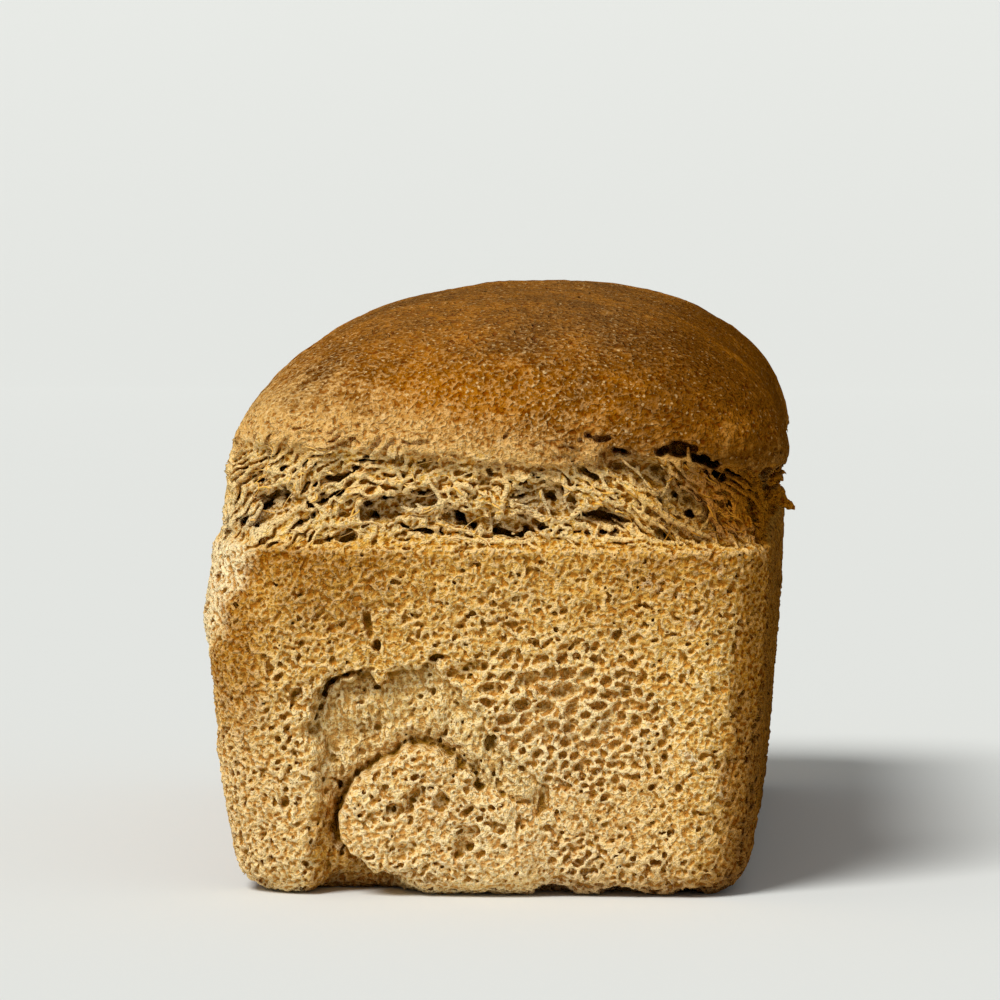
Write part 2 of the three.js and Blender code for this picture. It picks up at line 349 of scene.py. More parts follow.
# Tears in the front end: their route, half height and depth.
TEARS = [
    (((-32.8, 40.8), (-32, 43.3), (-29, 44.6), (-25.6, 45.8), (-22.1, 46.6)), 0.8, 5),
    (((-31, 23.9), (-29.5, 22.7), (-29.8, 19.4)), 0.5, 4),
    (((-10.6, 48.7), (-8.6, 49.1)), 0.9, 3),
    (((-49.6, 76), (-47.6, 74.9), (-45.1, 78.3), (-42.5, 80.4), (-39.5, 81.4), (-36.3, 82.6)), 1.3, 5),
    (((-34.4, 83.2), (-31.5, 83.8), (-28.4, 84.6), (-25.8, 86.1)), 1.0, 4.5),
    (((-34.9, 79.3), (-33, 79.6), (-31.5, 81), (-28.4, 82)), 0.95, 4),
    (((-38.9, 74.9), (-37, 75.5), (-33.8, 77)), 0.6, 3),
    (((-45.1, 87.7), (-43.5, 89), (-40.8, 89.7)), 0.4, 2.5),
    (((-41.5, 86), (-39.9, 86.9)), 0.55, 3),
    (((-39.5, 84.4), (-37.4, 86.4), (-35.4, 88.4), (-34.2, 89)), 0.5, 3),
    (((-36.5, 85), (-35.1, 86.9), (-33.4, 87.5)), 0.45, 3),
    (((-49.1, 83), (-47.2, 84.4), (-43.9, 86)), 0.35, 2),
    (((-46.5, 83.4), (-42.9, 84.1)), 0.4, 2.5),
    (((-50.8, 80), (-48.9, 82)), 0.5, 2.5),
    (((-25.8, 83.2), (-25.2, 82)), 0.8, 3),
    (((-24.7, 88), (-23.3, 89), (-21.9, 88.6)), 0.55, 3),
    (((-28.4, 91.1), (-26.1, 92.7), (-24.9, 91.4)), 0.25, 1.5),
    (((-31.2, 72.9), (-30.7, 71.9)), 0.6, 3),
    (((-24.5, 79.7), (-22.8, 79.5)), 0.7, 4),
    (((-20.7, 80.7), (-18.6, 81.2)), 0.5, 3.5),
    (((-22.6, 77.2), (-21.3, 76.8)), 0.6, 4),
    (((-13.8, 81.6), (-12.1, 82.1), (-10.6, 82.8)), 0.95, 4),
    (((-16.2, 75.1), (-13.2, 74.1), (-10.2, 74.1), (-8.1, 73.7)), 0.75, 5.5),
    (((-7.5, 78.5), (-5.1, 77.8), (-4.1, 76), (-2.1, 75.2)), 1.25, 7),
    (((1.8, 74), (4, 73.5), (7, 73), (8.5, 74), (12.1, 74.4), (13.5, 74.1)), 0.8, 6.5),
    (((5.9, 81.6), (7, 83.4), (9.1, 84.6), (11.1, 85), (13.7, 85.4)), 0.75, 4),
    (((6.6, 81), (8.4, 81.6)), 0.6, 3.5),
    (((12.1, 82), (13.7, 80.6)), 0.6, 3.5),
    (((15.8, 82.7), (18.3, 82.4)), 0.4, 3),
    (((19, 77.4), (21.1, 77.4), (25.1, 77.2), (27.8, 75.9)), 1.05, 5.5),
    (((19.9, 86.5), (21.6, 85.6), (22.2, 84.5)), 0.65, 3.5),
    (((20.8, 93.3), (22.8, 92.5), (25.1, 92.9)), 0.7, 3.5),
    (((0.9, 86.6), (1.7, 85.4)), 0.55, 3),
    (((18.1, 74.1), (21.2, 73.8), (26.1, 74.1)), 0.4, 3),
    (((30.3, 74.1), (32.5, 74)), 0.45, 3),
    (((34.8, 90.2), (36.9, 90.6), (38.7, 90.8), (40.9, 89.8), (43.8, 88.6), (46, 87.1)), 1.6, 9),
    (((43.8, 86.2), (46.4, 85.6), (47.6, 84.4)), 0.75, 6),
    (((48.2, 86.1), (50.8, 85.1)), 0.7, 6),
    (((50.9, 83.6), (52.9, 80.3)), 0.5, 3),
    (((37.7, 81.7), (38.6, 81.1)), 0.55, 4.5),
    (((40.5, 78.2), (41.4, 77.2)), 0.85, 5),
    (((42.7, 83.4), (44.3, 81), (45.3, 77.6)), 0.4, 3.5),
    (((49.2, 78.3), (49.7, 76.8)), 0.35, 2.5),
    (((36.4, 73.1), (37.5, 72.6)), 0.6, 3.5),
    (((26.1, 90.4), (29, 90)), 0.8, 5),
]

# Wide hollows in the front end: place, half length, half height, turn in degrees and depth.
HOLLOWS = [
    ((-13.9, 20), 3.2, 1.7, 62, 2.0),
    ((-18.1, 17.7), 2.6, 1.7, 35, 1.7),
    ((-8.6, 19.8), 1.9, 1.5, 60, 1.4),
    ((-3.8, 11.8), 3.6, 1.9, 60, 1.6),
    ((-3.2, 17.9), 1.8, 0.9, 45, 1.3),
    ((-16.3, 9.3), 3.4, 2.0, 30, 1.1),
    ((-22.6, 16), 2.4, 1.5, 50, 1.0),
    ((-3.2, 46.2), 4.2, 1.9, 14, 1.9),
    ((1.3, 31.8), 1.6, 1.4, 60, 1.6),
    ((-40.2, 19.4), 1.3, 1.0, 80, 1.6),
    ((-23.1, 55.5), 0.9, 3.0, 12, 1.8),
    ((-37.7, 40.8), 1.2, 2.3, -20, 1.8),
    ((-29.5, 55), 2.4, 1.0, 25, 1.2),
    ((-21.5, 51.2), 0.9, 1.2, 0, 2.4),
    ((-20.4, 78.5), 5.4, 2.6, 8, 3.5),
    ((-12.1, 79.9), 3.8, 2.6, 14, 3.2),
    ((-11.2, 87.7), 2.1, 2.0, 0, 1.2),
    ((-2.2, 76), 6.2, 1.6, -8, 2.6),
    ((6.1, 75.6), 6.6, 1.8, -2, 3.0),
    ((0.2, 83.4), 1.8, 1.5, 0, 1.3),
    ((12, 80.9), 6.2, 3.6, -12, 2.5),
    ((-27.5, 73.1), 2.4, 1.4, 10, 1.8),
    ((-42.7, 77.8), 6.8, 1.7, 24, 2.4),
    ((27.8, 88.2), 3.8, 2.8, -20, 3.6),
    ((33.5, 85.5), 4.2, 2.8, -28, 3.4),
    ((40.5, 78.3), 6.4, 2.8, -42, 3.6),
    ((35.9, 73.5), 1.6, 1.3, -30, 2.0),
    ((23.6, 77), 5.0, 1.7, -8, 1.8),
]

# Cords of stretched dough on the front end: their route and half thickness.
CORDS = [
    (((40.9, 91), (41.3, 87.7), (43, 85), (44, 82), (45.6, 79.4), (46.4, 75.8)), 0.6),
    (((37.7, 88.6), (39.9, 87.1), (41.9, 84.6), (43.8, 82.4)), 0.5),
    (((22.8, 86.9), (23.8, 84.1), (25.6, 81.6), (27.4, 79.7)), 0.36),
    (((19.8, 83.7), (22.2, 81.2), (23.9, 79.3)), 0.36),
    (((28.4, 84.2), (31.2, 81.6), (32.3, 79.4), (31.3, 77.4)), 0.42),
    (((30.3, 86.9), (32.9, 83.4), (35.4, 81.1)), 0.22),
    (((26.7, 89.8), (29.2, 87.3), (31.5, 85.5)), 0.24),
    (((35.3, 87.8), (37.3, 86), (37, 84.1), (35.7, 81.6)), 0.32),
    (((27.5, 84), (32.5, 80.5), (37.7, 76.3), (45.3, 73.1)), 0.6),
    (((30.2, 78.7), (33.5, 76.6), (36.8, 74.3)), 0.4),
    (((39.3, 82.4), (40.8, 79.3), (43.4, 76.4)), 0.3),
    (((45.7, 78.7), (44.7, 76.4), (43.2, 74.8)), 0.3),
    (((47.8, 83.8), (49.4, 80.7), (50, 76.4)), 0.36),
    (((20.2, 72.3), (25.1, 72.4), (30.9, 72.7), (34.8, 72.1), (39.7, 72.1)), 0.5),
    (((-17.4, 72.1), (-12.9, 71.9), (-8, 72.5), (-3.2, 72.6), (4.7, 72.1), (12.5, 72.4), (20.2, 72.3)), 0.42),
    (((-11.3, 84.6), (-9.2, 82), (-8, 79)), 0.42),
    (((-16.4, 78.9), (-12.9, 77.9), (-9.6, 78.5), (-7.6, 80.3)), 0.5),
    (((-13.5, 79.7), (-11.3, 78.1), (-8.6, 79.9)), 0.4),
    (((-13.7, 89), (-11.2, 90.4), (-8.8, 90), (-7.5, 88)), 0.36),
    (((3.6, 88.4), (4.7, 84.2), (4.3, 79.9), (2.5, 76.8)), 0.5),
    (((1.2, 82.2), (2.9, 79.3), (3.3, 76.4)), 0.4),
    (((6, 79.9), (9.1, 79), (12.1, 77), (14.3, 74.3)), 0.3),
    (((11.1, 83.6), (12.1, 80.9), (12.8, 78.3), (13.9, 75.6)), 0.28),
    (((13.7, 74.1), (16.7, 76.4), (19.5, 78.2)), 0.32),
    (((15, 85.7), (16.7, 83.6), (16.4, 79.9), (17.9, 77.4)), 0.36),
    (((-25.5, 80.1), (-24.9, 77), (-27.3, 75.3), (-29.7, 75), (-31, 77.4)), 0.5),
    (((-22.5, 76), (-21.7, 73.6), (-23.4, 71.9), (-27.5, 71.1)), 0.46),
    (((-31.8, 77.8), (-32.3, 74.8), (-34.3, 72.9)), 0.42),
    (((-37.4, 74.9), (-39.5, 71.9), (-41.3, 70.2)), 0.4),
    (((-37.2, 78.7), (-40.2, 76.6), (-43.5, 73.7)), 0.5),
    (((-35.7, 81.2), (-32.4, 78.3), (-30.8, 77.9)), 0.36),
    (((-30, 81.2), (-28.7, 79.5), (-26.5, 82), (-24.6, 85.1)), 0.4),
    (((-49.8, 84), (-47.4, 86.3), (-45, 87.3)), 0.36),
    (((-40.1, 83.6), (-38.2, 85.3), (-36.3, 87.7), (-34.3, 89.8)), 0.34),
    (((-45.4, 82.2), (-41.7, 83.6), (-37.2, 84)), 0.36),
    (((-44.6, 79.1), (-46.2, 76.8), (-48.9, 74.1)), 0.42),
    (((-21.3, 86.1), (-17.8, 87.5), (-16.2, 84.2)), 0.34),
    (((-6.7, 85.5), (-5.1, 82.6), (-3.2, 81.4)), 0.34),
    (((-2.2, 78.9), (-4.5, 80.5), (-5.3, 83.2)), 0.36),
    (((9.5, 87.3), (14.4, 87.7), (18.7, 87.8)), 0.34),
    (((0.4, 29.9), (-0.6, 27.4), (0.2, 25.4)), 0.4),
    (((0.4, 29.9), (2.2, 30.9), (2.6, 29.1)), 0.36),
]

# Gaps under the front edge: middle, half width and height.
NOTCHES = [(-22, 9.6, 2.7), (13.6, 5.2, 2.6), (27.3, 4.8, 2.4), (41.3, 3.8, 2)]

# Lumps of torn crust that stick out: place, radii and tilt in degrees.
CRAGS = [
    ((57.6, -88, 80.6), (1.8, 2.2, 2.2), -30),
    ((59.4, -88, 79.6), (1.5, 1.4, 0.9), -50),
    ((60.5, -88, 78.6), (1.3, 0.9, 0.42), -12),
    ((57.2, -70, 84), (1.4, 4, 1.3), 10),
]

# Where the torn dough's layers arch highest over an end, how fast they fall away from there, and how fast
# they fall away along the sides from the loaf's middle.
ARCH_TOP = -3.0
ARCH_FALL = 0.0078
SIDE_FALL = 0.0011

END_FROM = 0.85 * 108  # distance from the middle where the dough counts as an end's
FRONT_CUT = 16  # how far back the front end's forms change the field


def spline(points, per_span=8):
    """A smooth closed outline through points."""
    p = np.array(points, float)
    t = np.linspace(0, 1, per_span, endpoint=False)[:, None]
    runs = []
    for i in range(len(p)):
        a, b, c, d = p[i - 1], p[i], p[(i + 1) % len(p)], p[(i + 2) % len(p)]
        square, cube = 2 * a - 5 * b + 4 * c - d, 3 * b - a - 3 * c + d
        runs.append(0.5 * (2 * b + (c - a) * t + square * t**2 + cube * t**3))
    return np.concatenate(runs)


def eased(route):
    """A route with its corners cut."""
    p = np.array(route, float)
    for _ in range(2):
        cut = np.stack([0.75 * p[:-1] + 0.25 * p[1:], 0.25 * p[:-1] + 0.75 * p[1:]], 1).reshape(-1, 2)
        p = np.vstack([p[:1], cut[1:-1], p[-1:]]) if len(p) > 2 else p
    return p


def to_segments(x, z, route):
    """Distance from points to a route of straight runs, and how far along it the nearest place is, 0 to 1."""
    best = np.full(np.shape(x), np.inf)
    way = np.zeros(np.shape(x))
    runs = len(route) - 1
    for i in range(runs):
        (ax, az), (bx, bz) = route[i], route[i + 1]
        dx, dz = bx - ax, bz - az
        t = np.clip(((x - ax) * dx + (z - az) * dz) / (dx * dx + dz * dz), 0, 1)
        far = np.hypot(x - ax - t * dx, z - az - t * dz)
        nearer = far < best
        best = np.where(nearer, far, best)
        way = np.where(nearer, (i + t) / runs, way)
    return best, way


def to_outline(x, z, outline):
    """Distance from points to a closed outline, negative inside it."""
    closed = np.vstack([outline, outline[:1]])
    far, _ = to_segments(x, z, closed)
    inside = np.zeros(np.shape(x), bool)
    for (ax, az), (bx, bz) in zip(closed[:-1], closed[1:]):
        crosses = (az > z) != (bz > z)
        with np.errstate(divide="ignore", invalid="ignore"):
            inside ^= crosses & (x < (bx - ax) * (z - az) / (bz - az) + ax)
    return np.where(inside, -far, far)


def to_window(x, z):
    return to_outline(x, z, spline(WINDOW))


def to_lobe(x, z):
    return to_outline(x, z, spline(LOBE))


def flow(x, y):
    """The way that the dough was stretched, as three arrays. It runs level, and arches over each end."""
    at_end = np.abs(y) > END_FROM
    rise = np.where(at_end, -2 * ARCH_FALL * (x - ARCH_TOP), -2 * SIDE_FALL * y)
    along_x = np.where(at_end, 1.0, 0.0)
    return along_x, 1 - along_x, rise


# ------------------------------------------------------------ the field


class Field:
    """Samples of the loaf's field on a grid that is finest at the front end."""

    FINE_DEPTH = 24  # how far back the finest cells reach
    GROWTH = 1.03  # from one cell to the next, where they widen
    MARGINS = (5, 4, 2)  # round the loaf's sides and top, past its ends and under its base
    SLAB = 12  # rows of samples that are filled at a time
    RANGE = 3.0  # distances are clipped to this before the surface is drawn

    def __init__(self, form, crumb):
        self.form = form
        rough = 1.0
        self.cell = crumb.cell * MM * rough
        coarse = crumb.coarse_cell * MM * rough
        aside, past, under = self.MARGINS
        half_x = form.rim_width / 2 + aside
        end = form.rim_length / 2 + past
        self.x = np.arange(-half_x, half_x, self.cell)
        self.z = np.arange(-under, form.crest + aside, self.cell)
        steps = [self.cell] * int(self.FINE_DEPTH / self.cell)
        while steps[-1] < coarse:
            steps.append(min(steps[-1] * self.GROWTH, coarse))
        y = -end + np.concatenate([[0], np.cumsum(steps)])
        self.y = np.concatenate([y, np.arange(y[-1] + coarse, end + coarse, coarse)])
        self.axes = (self.x, self.y, self.z)
        self.values = np.empty([len(axis) for axis in self.axes], np.float32)
        with ThreadPoolExecutor(WORKERS) as pool:
            list(pool.map(self.fill, range(0, len(self.x), self.SLAB)))

    def fill(self, start):
        """Samples a slab of the plain form, as true distances."""
        stop = min(start + self.SLAB, len(self.x))
        low, high = max(start - 1, 0), min(stop + 1, len(self.x))
        x, y, z = (axis.astype(np.float32) for axis in (self.x[low:high], self.y, self.z))
        slab = self.form.skin(x[:, None, None], y[None, :, None], z[None, None, :])
        slopes = np.gradient(slab, x, y, z)
        slab = slab / np.maximum(np.sqrt(sum(slope * slope for slope in slopes)), 0.3)
        self.values[start:stop] = slab[start - low : stop - low]

    def window(self, centre, reach):
        """The grid's slices, and the places there, round a centre."""
        cuts, places = [], []
        for i, axis in enumerate(self.axes):
            low = np.searchsorted(axis, centre[i] - reach[i])
            high = np.searchsorted(axis, centre[i] + reach[i])
            cuts.append(slice(low, high))
            shape = [1, 1, 1]
            shape[i] = -1
            places.append(axis[low:high].reshape(shape) - centre[i])
        return tuple(cuts), places

    def stamp(self, centre, radii, turn, grow=False, blend=0.25):
        """Takes an ellipsoid away from the loaf, or adds it. turn's rows are the ellipsoid's axes."""
        reach = np.sqrt(((np.abs(turn) * radii[:, None]) ** 2).sum(0)) + 0.8
        cuts, (dx, dy, dz) = self.window(centre, reach)
        here = self.values[cuts]
        if not here.size:
            return
        q = 0
        for axis, radius in zip(turn, radii):
            q = q + ((dx * axis[0] + dy * axis[1] + dz * axis[2]) / radius) ** 2
        ball = (np.sqrt(q) - 1) * radii.min()
        if grow:
            self.values[cuts] = -round_max(-here, -ball, blend)
        else:
            self.values[cuts] = round_max(here, -ball, blend)

    def shell(self, reach):
        """Flat indices of the samples near the surface, and their places."""
        flat = np.flatnonzero((self.values > -reach) & (self.values < reach))
        ix, iy, iz = np.unravel_index(flat, self.values.shape)
        f32 = [axis.astype(np.float32) for axis in self.axes]
        return flat, f32[0][ix], f32[1][iy], f32[2][iz]

    def surface(self):
        """Corners and four-sided faces of the surface where the field is 0."""
        volume = openvdb.FloatGrid(self.RANGE)
        volume.copyFromArray(np.clip(self.values, -self.RANGE, self.RANGE))
        points, _, quads = volume.convertToPolygons(isovalue=0.0, adaptivity=0.0)
        places = [np.interp(points[:, i], np.arange(len(axis)), axis) for i, axis in enumerate(self.axes)]
        return np.stack(places, 1), quads.astype(np.int64)

    def shelter(self, reach):
        """How much dough lies round each sample: half on flat skin, less on a rim and more in a hollow."""
        solid = np.clip(0.5 - self.values / self.cell, 0, 1)
        cells = max(1, round(reach / self.cell))
        for axis in range(3):
            wide = [(0, 0)] * 3
            wide[axis] = (cells + 1, cells)
            total = np.cumsum(np.pad(solid, wide, mode="edge"), axis=axis, dtype=np.float64)
            count = solid.shape[axis]
            span = 2 * cells + 1
            ahead = np.take(total, np.arange(span, span + count), axis=axis)
            solid = (ahead - np.take(total, np.arange(count), axis=axis)) / span
            solid = solid.astype(np.float32)
        return solid

    def sample(self, values, corners):
        """Values of a grid at places between its samples."""
        lows, shares = [], []
        for axis, place in zip(self.axes, corners.T):
            index = np.clip(np.searchsorted(axis, place) - 1, 0, len(axis) - 2)
            lows.append(index)
            shares.append(np.clip((place - axis[index]) / (axis[index + 1] - axis[index]), 0, 1))
        found = 0
        for dx in (0, 1):
            for dy in (0, 1):
                for dz in (0, 1):
                    weight = 1.0
                    for share, step in zip(shares, (dx, dy, dz)):
                        weight = weight * (share if step else 1 - share)
                    found = found + weight * values[lows[0] + dx, lows[1] + dy, lows[2] + dz]
        return found


def on_front(field, low, high, back):
    """The grid's slices over a box of the front end, and the places there: x and z as flat maps, y alone."""
    ix = slice(*np.searchsorted(field.x, (low[0], high[0])))
    iz = slice(*np.searchsorted(field.z, (low[1], high[1])))
    iy = slice(0, int(np.searchsorted(field.y, field.form.front(0) + back)))
    x, z = np.meshgrid(field.x[ix], field.z[iz], indexing="ij")
    return (ix, iy, iz), x, field.y[iy], z


def openness(x, z):
    """How open the crumb of the front end is, from 0 to 1."""
    right = bell((x - 17) / 20, (z - 36) / 17)
    low = 0.6 * bell((x - 10.6) / 24, (z - 9) / 9)
    left = 0.4 * bell((x + 36.5) / 8, (z - 40) / 15)
    top = 0.4 * bell((x - 2) / 24, (z - 56) / 8)
    return np.maximum(np.maximum(right, low), np.maximum(left, top))


def window_depth(x, z, noise):
    """How far the front end is set back in the roll's window, in millimetres."""
    ragged = 1.3 * noise(x / 3.6, 7.5, z / 3.6) + 1.0 * noise(x / 1.4, 3.5, z / 1.4)
    inside = -to_window(x, z) - ragged
    # The upper edge is torn sheer, and the left column rounds down into the gap beside the lobe.
    sheer = np.maximum(ramp(31.7, 38.5, z), ramp(-20, -10.5, x))
    width = 1.1 + (1 - sheer) * 5.0
    full = 2.4 - 1.1 * ramp(-12.5, 5, x) + 2.4 * (1 - sheer) * ramp(-16, -25, x)
    # Deepest under the upper left edge and round the lobe.
    full = full + 2.2 * bell(to_segments(x, z, UNDERCUT)[0] / 4.0)
    full = full + 2.3 * ramp(4.0, 0, to_lobe(x, z)) * ramp(8, -6, x)
    full = full + 0.9 * noise(x / 5.0, 1.5, z / 10.0) + 0.6 * noise(x / 1.9, 5.5, z / 4.5)
    share = np.clip(inside / width, 0, 1)
    return np.maximum(full, 0.3) * np.sin(share * math.pi / 2) ** 1.3


def lobe_shape(x, z, noise):
    """How surely a point lies on the roll's lobe, and how far the lobe stands out there, in millimetres."""
    wobble = 0.7 * noise(x / 3.6, 4.5, z / 3.6) + 0.8 * noise(x / 1.5, 6.5, z / 1.5)
    inside = -to_lobe(x, z) - wobble
    share = np.clip(inside / 3.6, 0, 1)
    swell = 1.7 * np.sqrt(share * (2 - share))
    return ramp(-0.8, 0.3, inside), swell * ramp(15, 2, x) * ramp(-1, 4, z)


def hollow_depth(x, z, noise):
    """How far the front end is set back in its wide hollows, in millimetres."""
    ragged = 0.5 * noise(x / 2.3, 11.5, z / 2.3) + 0.35 * noise(x / 0.9, 13.5, z / 0.9)
    depth = np.zeros(x.shape)
    for (cx, cz), long, wide, turn, deep in HOLLOWS:
        a = math.radians(turn)
        along = (x - cx) * math.cos(a) + (z - cz) * math.sin(a)
        across = (z - cz) * math.cos(a) - (x - cx) * math.sin(a)
        spread = (along / long) ** 2 + (across / wide) ** 2 + ragged
        depth = np.maximum(depth, deep * np.sqrt(np.clip(1.15 - spread, 0, 1)))
    return depth


def set_back(x, z, noise):
    """How far the front end is set back by its window, lobe and hollows, in millimetres."""
    lobe, swell = lobe_shape(x, z, noise)
    return window_depth(x, z, noise) * (1 - lobe) - swell + hollow_depth(x, z, noise)


def cut_front(field, noise):
    """The window of the roll, the lobe, the wide hollows, the tears and the notches of the front end."""
    form = field.form
    cut, x, y, z = on_front(field, (-60, -3), (60, 98), FRONT_CUT)
    push = set_back(x, z, noise)
    fade = ramp(form.front(0) + FRONT_CUT, form.front(0) + FRONT_CUT / 2, y)
    field.values[cut] += push[:, None, :] * fade[None, :, None]

    for route, half, deep in TEARS:
        carve_route(field, noise, route, half, deep)
    for x, half, high in NOTCHES:
        radii = np.array([half, 9, high + 0.4])
        field.stamp(np.array([x, form.front(0) + 3, -0.4]), radii, np.eye(3), blend=0.6)
    for place, radii, tilt in CRAGS:
        a = math.radians(tilt)
        axes = np.array([[math.cos(a), 0, math.sin(a)], [0, 1, 0], [-math.sin(a), 0, math.cos(a)]])
        field.stamp(np.array(place), np.array(radii), axes, grow=True, blend=1.2)


def carve_route(field, noise, route, half, deep):
    """A tear along a route on the front end: widest in its middle, with ragged edges."""
    points = eased(route)
    cut, x, _, z = on_front(field, points.min(0) - half - 3, points.max(0) + half + 3, deep + FRONT_CUT)
    far, way = to_segments(x, z, points)
    width = half * (0.5 + 0.6 * np.sin(math.pi * np.clip(way, 0.1, 0.9)))
    ragged = 0.45 * half * noise(x / 1.9, 9.5, z / 1.3)
    ragged = ragged + (0.15 + 0.25 * half) * noise(x / 0.8, 2.5, z / 0.7)
    here = field.values[cut]
    inward = np.maximum(-here, 0)
    slot = round_max((far - width - ragged)[:, None, :] + 0.12 * inward, (inward - deep) * 0.9, 1.2)
    field.values[cut] = round_max(here, -slot, 0.25)


def lay_cords(field, plain, noise):
    """Cords of stretched dough on the front end, at the level of its skin before it tore."""
    for route, half in CORDS:
        points = eased(route)
        cut, x, _, z = on_front(field, points.min(0) - 2, points.max(0) + 2, 14)
        bent = 0.35 * noise(x / 2.1, 15.5, z / 2.1)
        far, way = to_segments(x + bent, z - bent, points)
        thick = 1.12 * half * (1 - 0.45 * np.abs(2 * way - 1) ** 3)
        thick = thick * (1 + 0.3 * noise(x / 1.1, 17.5, z / 1.1))
        level = plain[cut] + 0.05
        cord = np.hypot(far[:, None, :], level) - thick[:, None, :]
        field.values[cut] = -round_max(-field.values[cut], -cord, 0.6)


# ------------------------------------------------------------ pores


def project(form, p, steps=3):
    """Places moved onto the plain form, with the normals there."""
    for _ in range(steps):
        nx, ny, nz, steep = form.normal(*p.T)
        away = form.skin(*p.T) / np.maximum(steep, 0.5)
        p = p - np.stack([nx, ny, nz], 1) * away[:, None]
    return p, np.stack(form.normal(*p.T)[:3], 1)


def skin_points(form, count, rng):
    """Places spread evenly over the plain form, with their normals."""
    low = np.array([-form.rim_width / 2 - 4, -form.rim_length / 2 - 3, -1.5])
    high = np.array([form.rim_width / 2 + 4, form.rim_length / 2 + 3, form.crest + 3])
    p = rng.uniform(low, high, (count, 3))
    return project(form, p[np.abs(form.skin(*p.T)) < 1.5])


def front_points(form, count, rng):
    """Places spread evenly over the front end, with their normals."""
    x = rng.uniform(-form.rim_width / 2, form.rim_width / 2, count)
    z = rng.uniform(0, form.band_high + 9, count)
    p = np.stack([x, form.front(z) + 0.12 * np.maximum(z - 84, 0), z], 1)
    p, n = project(form, p, 4)
    good = (n[:, 1] < -0.4) & (np.abs(form.skin(*p.T)) < 0.2)
    return p[good], n[good]


def spaced(points, radii, gap):
    """Indices of points that keep clear of those before them, by their radii and a gap."""
    cell = 4.0  # width of the boxes that neighbours are looked up in
    taken = {}
    kept = []
    neighbours = [(a, b, c) for a in (-1, 0, 1) for b in (-1, 0, 1) for c in (-1, 0, 1)]
    for i, ((px, py, pz), r) in enumerate(zip(points.tolist(), radii.tolist())):
        kx, ky, kz = int(px // cell), int(py // cell), int(pz // cell)
        clear = True
        for a, b, c in neighbours:
            for qx, qy, qz, s in taken.get((kx + a, ky + b, kz + c), ()):
                if (px - qx) ** 2 + (py - qy) ** 2 + (pz - qz) ** 2 < (r + s + gap) ** 2:
                    clear = False
                    break
            if not clear:
                break
        if clear:
            kept.append(i)
            taken.setdefault((kx, ky, kz), []).append((px, py, pz, r))
    return np.array(kept, int)


def turns(normals, ways):
    """Frames whose first row runs along a way, in the skin, and whose last row is the normal."""
    along = ways - normals * (ways * normals).sum(1, keepdims=True)
    along /= np.linalg.norm(along, axis=1, keepdims=True) + 1e-9
    across = np.cross(normals, along)
    return np.stack([along, across, normals], 1)


def stamp_all(field, p, n, radius, stretch, depth, ways, gap, rng):
    """Takes a pore out of the skin at each place, the largest first, so that small ones fill what is left."""
    order = np.argsort(-radius + 0.3 * rng.random(len(radius)))
    kept = order[spaced(p[order], radius[order] * (0.5 + 0.4 * stretch[order]), gap)]
    frames = turns(n[kept], ways[kept] + 0.2 * rng.standard_normal((len(kept), 3)))
    for turn, i in zip(frames, kept):
        r = radius[i]
        radii = np.array([r * stretch[i], r, r * depth[i] + 0.2])
        field.stamp(p[i] - n[i] * 0.15 * r, radii, turn, blend=0.18)


def front_pores(field, noise, rng):
    """The pores of the front end, open at the right of the window and finer towards the edges."""
    form = field.form
    p, n = front_points(form, 90000, rng)
    x, y, z = p.T
    dice = rng.random(len(p))
    torn = form.torn(x, y, z) > 0.3
    opened = openness(x, z)
    wide = bell((x - 12) / 16, (z - 43) / 7.5)
    lobe = to_lobe(x, z) < 0
    window = (to_window(x, z) < 0.8) & ~lobe
    over = z > form.band_high - 2
    radius = np.select(
        [over | torn, lobe, window],
        [0.36 + 0.5 * dice**3, 0.36 + 0.45 * dice**2.5, 0.34 + 0.35 * dice**2],
        0.35 + (0.35 + 0.4 * opened + 0.6 * wide) * dice**2.2 + 0.06 * wide,
    )
    few = np.select([over, torn, lobe, window], [0.001, 0.03, 0.02, 0.02], 0.007 + 0.045 * opened)
    many = few + (0.9 - 0.6 * wide) * ramp(0.35, 0.8, opened)
    few = np.where(over | torn | lobe | window, few, many)
    few = few * np.where(over | torn, 1, np.clip(1 + 1.9 * noise(x / 4.5, 19.5, z / 4.5), 0.1, 2.2))
    keep = rng.random(len(p)) < few
    stretch = np.where(torn, 1.4, 1.0 + 0.3 * wide) + np.where(torn, 1.2, 0.9) * rng.random(len(p))
    depth = np.ones(len(p))
    upright = bell((x + 43) / 9)
    lean = np.radians(32 + 28 * rng.standard_normal(len(p)) + 45 * upright)
    ways = np.stack([np.cos(lean), 0 * lean, np.sin(lean)], 1)
    ways = np.where(torn[:, None], np.stack(flow(x, y), 1), ways)
    p[:, 1] += set_back(x, z, noise)
    picks = (a[keep] for a in (p, n, radius, stretch, depth, ways))
    stamp_all(field, *picks, 0.07, rng)


